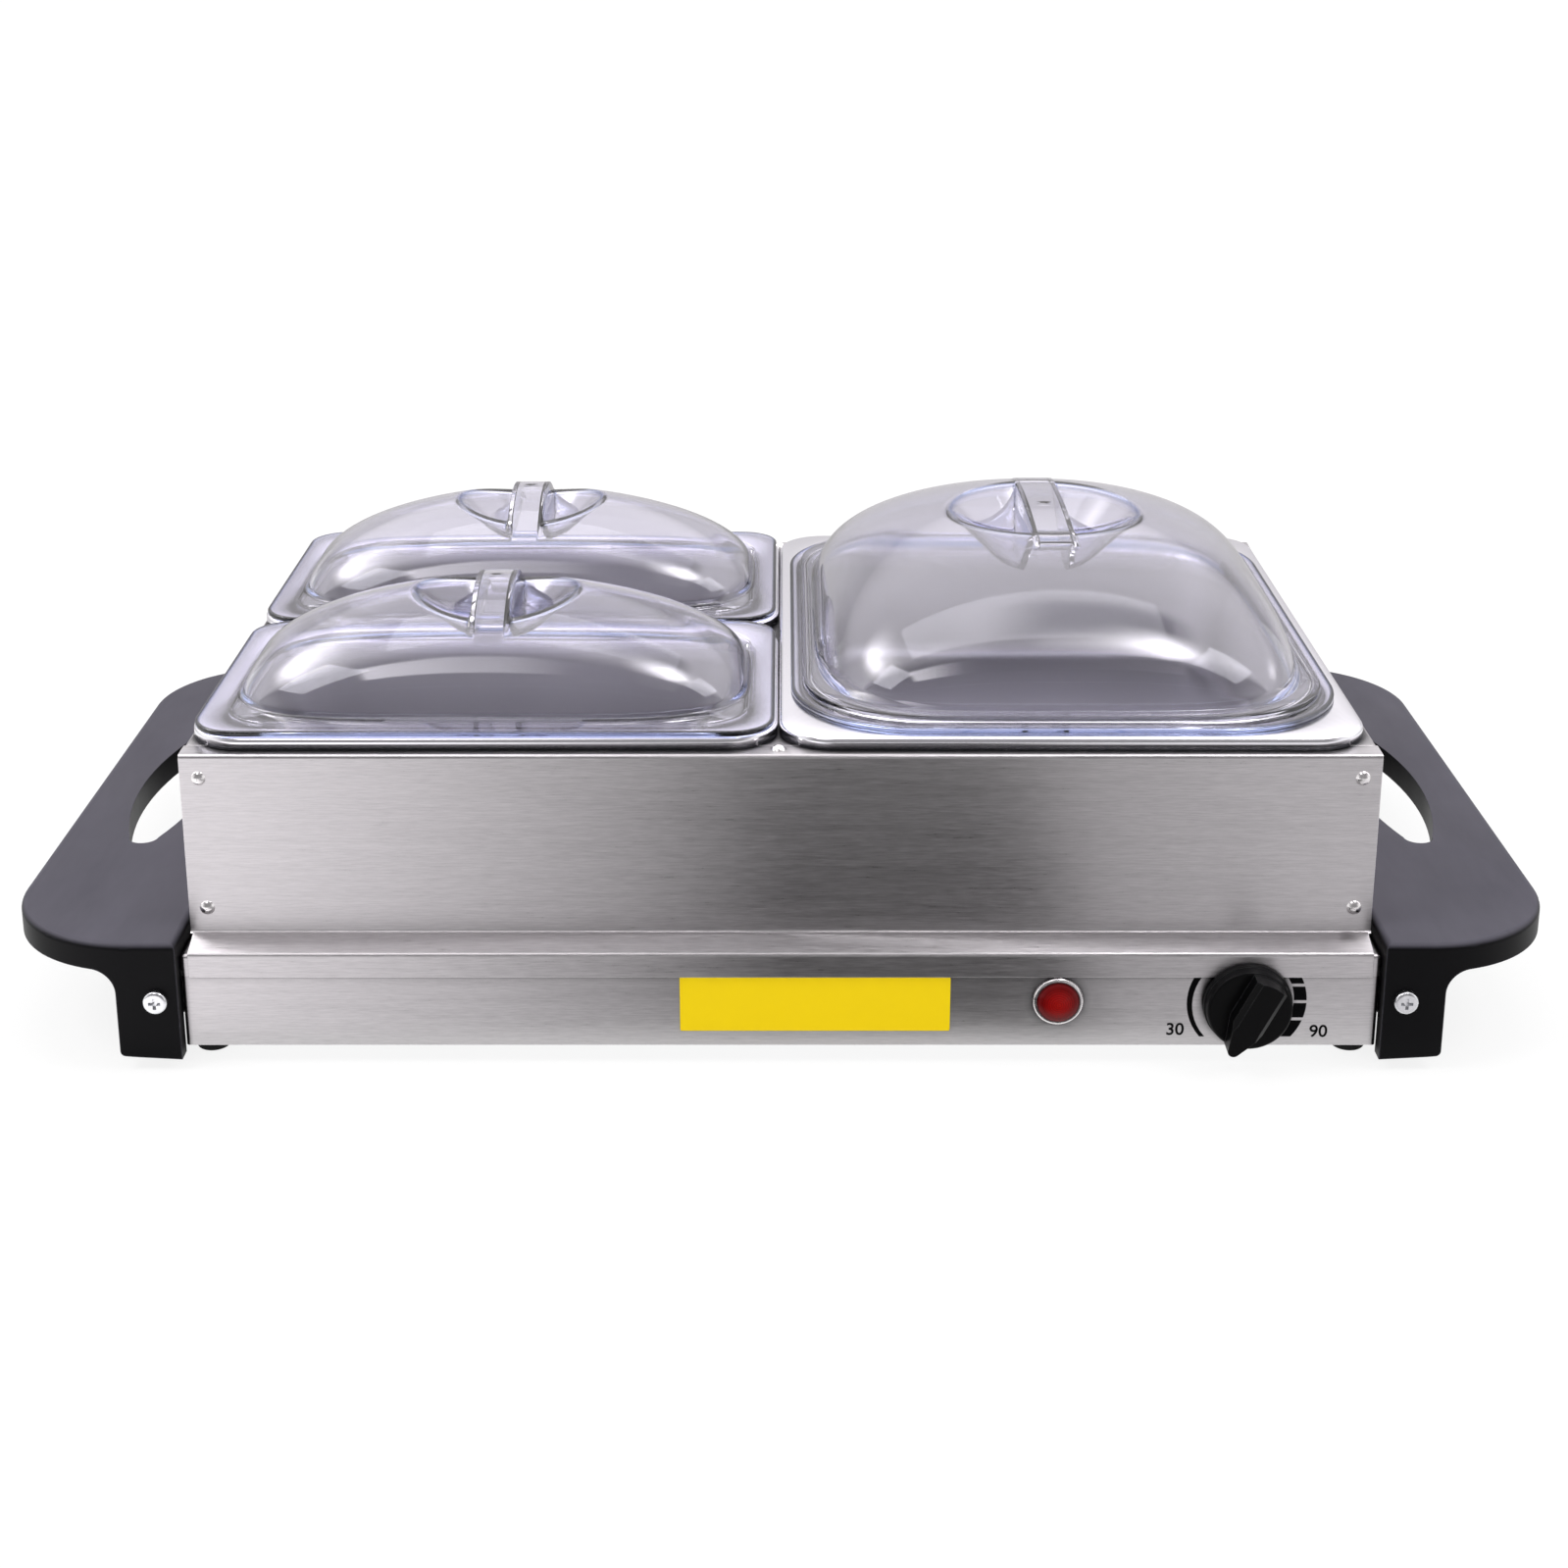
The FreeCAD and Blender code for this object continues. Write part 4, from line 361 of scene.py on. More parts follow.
def moulded_black(name, top, side, edge, rough, shine, pebble, soften):
    """Black moulding: fine spark-eroded texture, upper faces paler as painted light from above, and a
    painted highlight along its edges.
    """
    shader = Shader(name, side, Specular_IOR_Level=shine)
    grain = shader.noise(pebble, detail=2.0)
    wear = shader.noise(14.0, detail=3.0)
    rubbed = shader.noise((38.0, 9.0, 20.0), detail=4.0, rough=0.6)
    # Upward faces take the top colour, painted light from above that makes them paler than the sides:
    normal = shader.parts(shader.add("NewGeometry").outputs["Normal"])
    upward = shader.ranged(normal["Z"], 0.0, 1.0, 0.35, 0.95)
    painted_top_light = shader.mixed(shader.ranged(rubbed, 0.0, 1.0), toned(top, 0.88), toned(top, 1.15))
    moulded = shader.mixed(upward, side, painted_top_light)
    # Painted highlight along the edges:
    shader.colour(shader.mixed(shader.edges(soften * 2), moulded, edge))
    shader.roughness(shader.ranged(wear, rough * 0.85, rough * 1.15))
    shader.bump(grain, 0.05 * MM, 0.30, soften)
    return shader.material


def clear_plastic(name):
    """Clear polycarbonate, faintly violet, with deep blue painted along its edges as a painted reflection of
    the dark the edges refract and mirror.
    """
    body, painted_edge_blue = (0.905, 0.895, 0.965), (0.08, 0.13, 0.36)
    shader = Shader(name, body, Transmission_Weight=1.0, IOR=1.58)
    # Painted reflection: deep blue along the edges, in place of the dark they refract and mirror:
    edge = shader.add("Attribute", attribute_name="edge").outputs["Fac"]
    shader.colour(shader.mixed(edge, body, painted_edge_blue))
    shader.roughness(shader.ranged(shader.noise(30.0, detail=2.0), 0.015, 0.045))
    return shader.material


def ringed_lens(name, centre, radius):
    """Red lens with the fine rings moulded behind it, about ten of them."""
    # Colour by distance from the centre: brightest red in the middle, darker outwards, a paler ring near the
    # rim as a painted highlight, and near black at the very rim:
    stops = ((0.0, (0.38, 0.007, 0.005)), (0.40, (0.31, 0.004, 0.004)), (0.62, (0.21, 0.003, 0.003)),
             (0.78, (0.13, 0.002, 0.003)), (0.86, (0.17, 0.010, 0.012)), (0.94, (0.08, 0.003, 0.005)),
             (1.0, (0.02, 0.001, 0.002)))
    ring_phase, ring_red = 62.0, (0.08, 0.0, 0.0)
    shader = Shader(name, (0.4, 0.005, 0.005), Roughness=0.15, Specular_IOR_Level=0.15)
    place = shader.parts(shader.place())
    across = shader.math("SUBTRACT", place["X"], centre.x)
    up = shader.math("SUBTRACT", place["Z"], centre.z)
    share = shader.math("DIVIDE", shader.hypot(across, up), radius)
    ramp = shader.add("ValToRGB")
    elements = ramp.color_ramp.elements
    elements.remove(elements[1])
    for i, (position, colour) in enumerate(stops):
        element = elements[0] if i == 0 else elements.new(position)
        element.position = position
        element.color = (*colour, 1)
    shader.feed(share, ramp.inputs["Fac"])
    rings = shader.math("SINE", shader.product(share, ring_phase))
    ring_share = shader.ranged(rings, 0.0, 0.55, -1.0, 1.0)
    shader.colour(shader.mixed(ring_share, ramp.outputs["Color"], ring_red))
    shader.bump(rings, 0.05 * MM, 0.4)
    return shader.material


def flat_finish(name, colour, rough, speckle=0.0, metallic=0.0, shine=0.2):
    """Plain finish with a trace of unevenness."""
    shader = Shader(name, colour, Metallic=metallic, Specular_IOR_Level=shine)
    grain = shader.noise(240.0, detail=3.0)
    shader.roughness(shader.ranged(grain, rough * 0.85, rough * 1.15))
    if speckle:
        shader.bump(grain, speckle, 0.3)
    return shader.material


# ---- finishes of the carried-over nodes ----------------------------------------------------------
def finishes_by_node():
    low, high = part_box("indicator_lens")
    lens = ringed_lens("red_lens", (low + high) / 2, (high.x - low.x) / 2)
    # The top colour is painted light from above, and the edge colour a painted highlight:
    handle = moulded_black("handle_black", top=(0.078, 0.074, 0.094), side=(0.0028, 0.0027, 0.0034),
                           edge=(0.085, 0.082, 0.10), rough=0.42, shine=0.08, pebble=2200.0, soften=0.5 * MM)
    knob = moulded_black("knob_black", top=(0.004, 0.004, 0.0045), side=(0.0022, 0.0022, 0.0025),
                         edge=(0.05, 0.05, 0.052), rough=0.30, shine=0.09, pebble=2600.0, soften=0.3 * MM)
    finished = (
        (brushed_steel("steel_brushed_along_x", 0),
         ("base_housing", "frame_front_panel", "frame_rear_panel", "frame_pan_divider")),
        (brushed_steel("steel_brushed_along_y", 1),
         ("frame_left_side", "frame_right_side", "frame_centre_bar")),
        (plated("bright_zinc", (0.80, 0.81, 0.83), 0.22),
         ("handle_screws", "bracket_rivets", "foot_screws", "foot_nuts", "bottom_plate_screws",
          "thermostat_screws", "thermostat_spindle", "reflector_standoffs")),
        (plated("rivet_steel", (0.90, 0.88, 0.88), 0.20), ("frame_rivets",)),
        (plated("bezel_chrome", (0.95, 0.92, 0.92), 0.24), ("indicator_bezel",)),
        (flat_finish("foot_rubber", (0.012, 0.012, 0.012), 0.75, speckle=0.05 * MM),
         ("foot_front_left", "foot_rear_left", "foot_front_right", "foot_rear_right")),
        (handle, ("left_handle", "right_handle")),
        (knob, ("control_knob",)),
        (lens, ("indicator_lens",)),
    )
    return {name: material for material, names in finished for name in names}


def finishes_by_slot():
    return {
        "zinc_sheet": flat_finish("galvanised_sheet", (0.55, 0.56, 0.57), 0.38, metallic=1.0),
        "lamp_white": flat_finish("lamp_nylon", (0.80, 0.78, 0.72), 0.45),
        "thermostat_resin": flat_finish("thermostat_resin", (0.62, 0.56, 0.42), 0.5),
        "gland_nylon": flat_finish("gland_nylon", (0.02, 0.02, 0.02), 0.45, speckle=0.03 * MM),
        "element_sheath": flat_finish("element_sheath", (0.22, 0.21, 0.20), 0.5, metallic=1.0),
        "reflector_aluminium": flat_finish("reflector_sheet", (0.80, 0.81, 0.82), 0.25, metallic=1.0),
        "fuse_case": flat_finish("fuse_case", (0.70, 0.70, 0.70), 0.3, metallic=1.0),
        "terminal_resin": flat_finish("terminal_resin", (0.78, 0.77, 0.72), 0.5),
        "terminal_brass": flat_finish("terminal_brass", (0.72, 0.52, 0.24), 0.3, metallic=1.0),
        "lead_silicone": flat_finish("lead_silicone", (0.42, 0.05, 0.04), 0.55),
    }


def finish_nodes():
    """Give each carried-over node its own finish, or else the one of its material slot."""
    by_node, by_slot = finishes_by_node(), finishes_by_slot()
    slots = {entry["node"]: entry["material_slot"] for entry in frame["record"]["subparts"]}
    for name, node in nodes.items():
        material = by_node.get(name) or by_slot.get(slots[name])
        if material:
            node.data.materials.clear()
            node.data.materials.append(material)


# ---- mesh helpers --------------------------------------------------------------------------------
def add_object(name, vertices, faces, material, sharp_angle=35.0):
    mesh = bpy.data.meshes.new(name)
    mesh.from_pydata([tuple(v) for v in vertices], [], faces)
    mesh.validate()
    mesh.update()
    mesh.shade_smooth()
    mesh.set_sharp_from_angle(angle=math.radians(sharp_angle))
    mesh.materials.append(material)
    piece = bpy.data.objects.new(name, mesh)
    bpy.context.scene.collection.objects.link(piece)
    return piece


def smooth_least(a, b, blend):
    h = np.clip(0.5 + 0.5 * (b - a) / blend, 0, 1)
    return b + (a - b) * h - blend * h * (1 - h)


def smooth_most(a, b, blend):
    return -smooth_least(-a, -b, blend)


def rounded_outline(x0, x1, y0, y1, radius, steps=6):
    """Points round a rounded rectangle, the same number at every size."""
    corners = ((x1 - radius, y1 - radius, 0), (x0 + radius, y1 - radius, 90),
               (x0 + radius, y0 + radius, 180), (x1 - radius, y0 + radius, 270))
    return [(cx + radius * math.cos(math.radians(start + 90 * i / steps)),
             cy + radius * math.sin(math.radians(start + 90 * i / steps)))
            for cx, cy, start in corners for i in range(steps + 1)]


# ---- lids ----------------------------------------------------------------------------------------
def squircle_reach(angle, half_width, half_depth, squareness):
    """Distance from the centre to a superellipse along each polar angle."""
    return (np.abs(np.cos(angle) / half_width) ** squareness
            + np.abs(np.sin(angle) / half_depth) ** squareness) ** (-1 / squareness)


def rectangle_reach(angle, half_width, half_depth, corner):
    """Distance from the centre to a rounded rectangle along each polar angle."""
    c, s = np.abs(np.cos(angle)), np.abs(np.sin(angle))
    straight = np.minimum(half_width / np.maximum(c, 1e-9), half_depth / np.maximum(s, 1e-9))
    cx, cy = half_width - corner, half_depth - corner
    along = cx * c + cy * s
    inside = np.maximum(along ** 2 - (cx ** 2 + cy ** 2 - corner ** 2), 0)
    rounded = along + np.sqrt(inside)
    on_corner = (straight * c > cx) & (straight * s > cy)
    return np.where(on_corner, rounded, straight)


class Lid:
    """Sizes of one clear lid and the height of its outer or inner skin over any point."""

    def __init__(self, node, pan, corner, half_width, half_depth, profile, squareness, grip,
                 floor_radius, grip_depth, bar_width, bar_end, bar_rise, step, patch):
        low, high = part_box(node)
        pan_low, pan_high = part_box(pan)
        self.centre = (low + high) / 2
        self.width, self.depth = high.x - low.x, high.y - low.y
        self.corner, self.step, self.patch = corner, step, patch
        self.profile, self.squareness = profile, squareness
        self.rim = pan_high.z + RIM_LIFT
        self.foot = pan_high.z + FLANGE
        self.rib_width = pan_high.x - pan_low.x - 2 * RIB_INSET
        self.rib_depth = pan_high.y - pan_low.y - 2 * RIB_INSET
        self.height = high.z - BAR_PROUD - self.foot
        self.half_width, self.half_depth = half_width, half_depth
        self.grip, self.floor_radius, self.bar_width = grip, floor_radius, bar_width
        self.floor = self.height - grip_depth
        edge = self.height * self.opposite(grip / half_width)
        self.flare = (grip - floor_radius) / (edge - self.floor)
        end_rise = self.height * self.opposite(bar_end / half_depth)
        self.arch_height = self.height + bar_rise
        self.arch_half = bar_end / math.sqrt(1 - (end_rise / self.arch_height) ** 2)

    def opposite(self, share):
        """Share of the dome's width left at a share of its height, or the other way round."""
        return (1 - share ** self.profile) ** (1 / self.profile)

    def outline_power(self, level):
        """The dome is squarest at its foot and an ellipse at its top."""
        return 2 + (self.squareness - 2) * (1 - level)

    def rise(self, x, y, inset):
        """Share of the dome's height over each point, by halving."""
        low, high = np.zeros_like(x), np.ones_like(x)
        for _ in range(HALVINGS):
            middle = (low + high) / 2
            share = self.opposite(middle) + 1e-12     # never 0, because it divides
            power = self.outline_power(middle)
            out = (np.abs(x / ((self.half_width - inset) * share)) ** power
                   + np.abs(y / ((self.half_depth - inset) * share)) ** power) > 1
            high = np.where(out, middle, high)
            low = np.where(out, low, middle)
        return low

    def dome(self, x, y, inset):
        return (self.height - inset) * self.rise(x, y, inset)

    def pocket(self, x, y, inset):
        """Cone with a rounded floor, and its offset for the inner skin."""
        reach = np.hypot(x, y)
        spread = inset * (math.sqrt(1 + self.flare ** 2) - self.flare)
        cone = self.floor - inset + (reach - self.floor_radius - spread) / self.flare
        return smooth_most(cone, np.full_like(x, self.floor - inset), POCKET_FLOOR_ROUND)

    def bar(self, x, y, inset):
        """Arched bar with steep sides, rounded edges and a gate mark on its outer skin."""
        back = self.arch_height * np.sqrt(np.maximum(1 - (y / self.arch_half) ** 2, 0)) - inset
        half = self.bar_width / 2 - inset
        side = back - BAR_STEEPNESS * (np.abs(x) - half)
        gate_depth = GATE_DEPTH if inset == 0 else 0
        gate = np.clip((GATE_RADIUS - np.hypot(x, y)) / GATE_SLOPE, 0, 1) * gate_depth
        return smooth_least(back, side, BAR_ROUND) - gate

    def skin(self, x, y, inset):
        hollowed = smooth_least(self.dome(x, y, inset), self.pocket(x, y, inset), POCKET_LIP)
        return smooth_most(hollowed, self.bar(x, y, inset), BAR_ROOT)

    def painted_blue_mask(self, x, y):
        """1 along the lips of the pockets and of the bar, where deep blue is painted in as a painted
        reflection.
        """
        half_bar = self.bar_width / 2
        lip = np.exp(-((self.dome(x, y, 0) - self.pocket(x, y, 0)) / LIP_PAINTED_BLUE) ** 2)
        outside_bar = np.abs(x) > half_bar - BAR_PAINTED_BLUE_OVERLAP
        side = np.exp(-((np.abs(x) - half_bar - BAR_PAINTED_BLUE_OFFSET) / BAR_PAINTED_BLUE_WIDTH) ** 2)
        in_pocket = np.hypot(x, y) < self.grip
        return np.maximum(lip * outside_bar, side * in_pocket * BAR_PAINTED_BLUE_SHARE)

    def level_reach(self, angle, level, inset):
        """Distance from the centre to the dome at a share of its height."""
        share = self.opposite(level)
        return squircle_reach(angle, (self.half_width - inset) * share,
                              (self.half_depth - inset) * share, self.outline_power(level))

    def foot_reach(self, angle, inset):
        return squircle_reach(angle, self.half_width - inset, self.half_depth - inset, self.squareness)

    def flange_reach(self, angle, inset):
        return rectangle_reach(angle, self.width / 2 - inset, self.depth / 2 - inset, self.corner - inset)

    def bead_reach(self, angle, grow):
        """Distance from the centre to the edge of a stepped lid's ledge."""
        half_width, half_depth = (half + BEAD_MARGIN + grow for half in (self.half_width, self.half_depth))
        return rectangle_reach(angle, half_width, half_depth, self.corner - (self.width / 2 - half_width))

    def rib_reach(self, angle, inset):
        return rectangle_reach(angle, self.rib_width / 2 - inset, self.rib_depth / 2 - inset,
                               max(self.corner - inset, RIB_CORNER_LEAST))


def grid_lines(limit, band_low, band_high, band_grid):
    """Sorted positions from -limit to limit, closer together in a band on each side of 0."""
    lines = set(np.round(np.linspace(-limit, limit, int(2 * limit / GRID) + 1), 6))
    lines = {v for v in lines if not band_low < abs(v) < band_high}
    for v in np.arange(band_low, band_high + band_grid / 2, band_grid):
        lines |= {round(float(v), 6), round(float(-v), 6)}
    return np.array(sorted(lines))


class LidMesh:
    """Closed mesh of a lid: two fine patches over the grip, joined by rings that share their count."""

    def __init__(self, lid):
        self.lid = lid
        half_bar = lid.bar_width / 2
        inwards, outwards = BAR_SIDE_BAND
        xs = grid_lines(lid.patch[0], half_bar - inwards, half_bar + outwards, BAR_SIDE_GRID)
        ys = grid_lines(lid.patch[1], 0.0, GATE_BAND, GATE_GRID)
        columns, rows = len(xs), len(ys)
        self.columns, self.rows = columns, rows
        self.x, self.y = (grid.ravel() for grid in np.meshgrid(xs, ys))
        self.border = (list(range(columns))
                       + [j * columns + columns - 1 for j in range(1, rows)]
                       + [(rows - 1) * columns + i for i in range(columns - 2, -1, -1)]
                       + [j * columns for j in range(rows - 2, 0, -1)])
        self.count = len(self.border)
        self.angle = np.arctan2(self.y[self.border], self.x[self.border])
        self.cosine, self.sine = np.cos(self.angle), np.sin(self.angle)
        self.points, self.tints, self.faces = [], [], []

    def add_points(self, x, y, z, tint):
        start = sum(len(group) for group in self.points)
        self.points.append(np.stack([x + self.lid.centre.x, y + self.lid.centre.y, z], 1))
        self.tints.append(np.broadcast_to(tint, x.shape))
        return start

    def ring(self, reach, z, tint=0.0):
        height = np.broadcast_to(z, reach.shape)
        start = self.add_points(reach * self.cosine, reach * self.sine, height, tint)
        return list(range(start, start + self.count))

    def patch(self, inset, tint, flip):
        """Skin over the grip, and the points of its border."""
        height = self.lid.foot + self.lid.skin(self.x, self.y, inset)
        start = self.add_points(self.x, self.y, height, tint)
        for j in range(self.rows - 1):
            for i in range(self.columns - 1):
                a = start + j * self.columns + i
                quad = (a, a + 1, a + self.columns + 1, a + self.columns)
                self.faces.append(quad[::-1] if flip else quad)
        return [start + b for b in self.border]

    def join(self, first, second):
        for i in range(self.count):
            k = (i + 1) % self.count
            self.faces.append((first[i], second[i], second[k], first[k]))

    def dome_rings(self, inset, lowest):
        """Reach and height of each ring from the patch's border down to a height above the foot."""
        lid, height = self.lid, self.lid.height - inset
        border_x, border_y = self.x[self.border], self.y[self.border]
        first_level = float(lid.rise(border_x, border_y, inset).min()) * FIRST_LEVEL_SHARE
        inner = np.hypot(border_x, border_y)
        outer = lid.level_reach(self.angle, first_level, inset)
        found = []
        for share in np.linspace(0, 1, COLLAR_RINGS + 2)[1:-1]:
            reach = inner + (outer - inner) * share
            found.append((reach, lid.foot + lid.dome(reach * self.cosine, reach * self.sine, inset)))
        half_power = lid.profile / 2
        tilts = (math.asin(level ** half_power) for level in (first_level, lowest / height))
        for tilt in np.linspace(*tilts, LEVEL_RINGS):
            level = math.sin(tilt) ** (1 / half_power)
            found.append((lid.level_reach(self.angle, level, inset), lid.foot + height * level))
        return found

    def outside(self):
        """Rings down the dome, across the step and the flange, and round the flange's edge, each with its
        share of painted blue.
        """
        lid = self.lid
        shelf = lid.foot + lid.step
        rings = [self.ring(reach, z) for reach, z in self.dome_rings(0.0, lid.step + FOOT_FILLET)]
        foot = lid.foot_reach(self.angle, 0.0)
        for turn in np.radians((20, 45, 70, 90)):
            rings.append(self.ring(foot + FOOT_FILLET * (1 - math.cos(turn)),
                                   shelf + FOOT_FILLET * (1 - math.sin(turn)), tint=0.10))
        if lid.step:
            for grow, drop, tint in ((-1.0, 0.0, 0.05), (-0.3, 0.3, 0.15), (0.0, 1.0, 0.15)):
                reach = lid.bead_reach(self.angle, grow * EDGE_ROUND)
                rings.append(self.ring(reach, shelf - drop * EDGE_ROUND, tint))
            for grow, lift, tint in ((0.0, 1.0, 0.10), (0.3, 0.3, 0.05), (1.0, 0.0, 0.0)):
                reach = lid.bead_reach(self.angle, grow * EDGE_ROUND)
                rings.append(self.ring(reach, lid.foot + lift * EDGE_ROUND, tint))
        rings.append(self.ring(lid.flange_reach(self.angle, PAINTED_BLUE_ABOVE), lid.foot, tint=0.05))
        for turn in np.radians((0, 30, 60, 90)):
            rings.append(self.ring(lid.flange_reach(self.angle, EDGE_ROUND * (1 - math.sin(turn))),
                                   lid.foot - EDGE_ROUND * (1 - math.cos(turn)), tint=0.9))
        for inset, lift, tint in ((0.0, EDGE_BREAK, 1.0), (EDGE_BREAK, 0.0, 0.9),
                                  (PAINTED_BLUE_BELOW, 0.0, 0.1)):
            rings.append(self.ring(lid.flange_reach(self.angle, inset), lid.rim + lift, tint))
        return rings

    def rib(self):
        """Rings round the locating rib under the flange."""
        rim, low = self.lid.rim, self.lid.rim - RIB_DEPTH
        section = ((0.0, rim), (0.0, low + EDGE_BREAK), (EDGE_BREAK, low),
                   (RIB_WIDTH - EDGE_BREAK, low), (RIB_WIDTH, low + EDGE_BREAK), (RIB_WIDTH, rim))
        return [self.ring(self.lid.rib_reach(self.angle, inset), z) for inset, z in section]

    def inside(self):
        """Rings from the flange's underside up the dome's inner skin."""
        lid, bevel = self.lid, INNER_FOOT_BEVEL
        foot = lid.foot_reach(self.angle, WALL)
        rings = [self.ring(foot + bevel * share, lid.rim + bevel * (1 - share), tint=0.05)
                 for share in np.sin(np.radians((90, 60, 30, 0)))]
        inner_skin = reversed(self.dome_rings(WALL, INNER_FOOT_START))
        return rings + [self.ring(reach, z) for reach, z in inner_skin]

    def build(self):
        """Points, how much painted blue each one has, and faces."""
        chain = [self.patch(0.0, self.lid.painted_blue_mask(self.x, self.y), flip=False)]
        chain += self.outside() + self.rib() + self.inside()
        chain.append(self.patch(WALL, 0.0, flip=True))
        for first, second in zip(chain, chain[1:]):
            self.join(first, second)
        return np.concatenate(self.points), np.concatenate(self.tints), self.faces


def build_lid(name, node, lid, material):
    vertices, tints, faces = LidMesh(lid).build()
    piece = add_object(name, vertices, faces, material, sharp_angle=50.0)
    # How much painted blue each point has:
    piece.data.attributes.new("edge", "FLOAT", "POINT").data.foreach_set("value", tints.astype(np.float32))
    piece.visible_shadow = False
    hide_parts(node)
    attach(piece, node)


# ---- pans ----------------------------------------------------------------------------------------
def pan_outline(half_x, half_y, radius):
    return rounded_outline(-half_x, half_x, -half_y, half_y, radius, PAN_CORNER_STEPS)


def build_pan(name, node, corner, material):
    """Deep-drawn pan with a rolled rim and walls that run smoothly into its floor."""
    low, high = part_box(node)
    centre, half_x, half_y = (low + high) / 2, (high.x - low.x) / 2, (high.y - low.y) / 2
    opening_x, opening_y = half_x - PAN_RIM, half_y - PAN_RIM

    def rim_edge(inset, drop):
        return pan_outline(half_x - inset, half_y - inset, PAN_RIM_CORNER - inset), drop

    def well(inset, drop):
        return pan_outline(opening_x - inset, opening_y - inset, corner - inset), drop

    edge, mouth, bend = PAN_RIM_ROUND, PAN_MOUTH_ROUND, PAN_FLOOR_ROUND
    bend_top = PAN_DEPTH - bend
    turns = [(math.cos(angle), math.sin(angle)) for angle in PAN_BENDS]
    rings = [rim_edge(0.0, PAN_RIM_DROP)]
    rings += [rim_edge(edge * (1 - c), edge * (1 - s)) for c, s in turns]
    rings += [well(-mouth * (1 - s), mouth * (1 - c)) for c, s in turns]
    rings += [well(inset, drop) for inset, drop in (*PAN_WALL, (PAN_TAPER, bend_top))]
    rings += [well(PAN_TAPER + bend * (1 - c), bend_top + bend * s) for c, s in turns[1:]]

    count = len(rings[0][0])
    vertices, faces = [], []
    for outline, drop in rings:
        vertices += [(centre.x + x, centre.y + y, high.z - drop) for x, y in outline]
    for i in range(len(rings) - 1):
        for k in range(count):
            m = (k + 1) % count
            faces.append((i * count + k, i * count + m, (i + 1) * count + m, (i + 1) * count + k))
    faces.append(tuple(range((len(rings) - 1) * count, len(rings) * count)))
    piece = add_object(name, vertices, faces, material, sharp_angle=40.0)
    sheet = piece.modifiers.new("sheet", "SOLIDIFY")
    sheet.thickness = PAN_SHEET
    sheet.offset = -1.0
    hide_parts(node)
    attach(piece, node)


# ---- print and sticker ---------------------------------------------------------------------------
def plate(name, outline, y_back, thickness, material):
    """Thin flat plate in front of the control panel, from a closed outline of (x, z) points."""
    count = len(outline)
    vertices = [(x, y_back, z) for x, z in outline] + [(x, y_back - thickness, z) for x, z in outline]
    faces = [tuple(range(count)), tuple(range(2 * count - 1, count - 1, -1))]
    faces += [(i, count + i, count + (i + 1) % count, (i + 1) % count) for i in range(count)]
    return add_object(name, vertices, faces, material)


def scale_block(name, centre, z0, z1, side, y_back, material):
    """Stretch of the printed dial scale between two heights, on its left (-1) or right (1) side."""
    def width_at(z):
        sweep = math.atan2(z, side * math.sqrt(max(SCALE_OUTER ** 2 - z ** 2, 0)))
        clockwise = (SCALE_START - sweep) % (2 * math.pi)
        return SCALE_THIN + (SCALE_THICK - SCALE_THIN) * min(clockwise / SCALE_SWEEP, 1.0)

    outer, inner = [], []
    for z in np.linspace(z0, z1, SCALE_STEPS):
        rim = SCALE_OUTER - width_at(z)
        outer.append((centre.x + side * math.sqrt(SCALE_OUTER ** 2 - z ** 2), centre.z + z))
        inner.append((centre.x + side * math.sqrt(max(rim ** 2 - z ** 2, 0)), centre.z + z))
    return plate(name, outer + inner[::-1], y_back, PRINT_THICKNESS, material)


def printed_number(name, text, x, z, y_back, material):
    curve = bpy.data.curves.new(name, "FONT")
    curve.body = text
    curve.size = DIGIT_SIZE
    curve.align_x, curve.align_y = "CENTER", "CENTER"
    curve.extrude = PRINT_THICKNESS / 2
    curve.offset = PRINT_BOLD
    holder = bpy.data.objects.new(name, curve)
    bpy.context.scene.collection.objects.link(holder)
    holder.rotation_euler = (math.pi / 2, 0, 0)
    holder.location = (x, y_back - PRINT_THICKNESS / 2, z)
    bpy.context.view_layer.update()
    mesh = bpy.data.meshes.new_from_object(holder.evaluated_get(bpy.context.evaluated_depsgraph_get()))
    mesh.transform(holder.matrix_world)
    bpy.data.objects.remove(holder)
    mesh.materials.clear()
    mesh.materials.append(material)
    piece = bpy.data.objects.new(name, mesh)
    bpy.context.scene.collection.objects.link(piece)
    return piece


def dress_control_panel(black, yellow):
    """Dial print, its two numbers and the blank sticker, all on the base's front."""
    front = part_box("base_housing")[0].y
    spindle_low, spindle_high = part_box("thermostat_spindle")
    axis = (spindle_low + spindle_high) / 2
    pieces = [scale_block("scale_cold", axis, -SCALE_FOOT, SCALE_TOP, -1, front, black)]
    for i, (low, high) in enumerate(zip(SCALE_CUTS, SCALE_CUTS[1:])):
        z0 = low if i == 0 else low + SCALE_GAP / 2
        z1 = high if i == len(SCALE_CUTS) - 2 else high - SCALE_GAP / 2
        pieces.append(scale_block(f"scale_hot_{i + 1}", axis, z0, z1, 1, front, black))
    for name, text, x, z in NUMBERS:
        pieces.append(printed_number(name, text, axis.x + x, axis.z + z, front, black))
    for piece in pieces:
        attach(piece, "base")
    outline = rounded_outline(*STICKER_X, *STICKER_Z, STICKER_CORNER)
    sticker = plate("blank_sticker", outline, front, STICKER_THICKNESS, yellow)
    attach(sticker, "base")


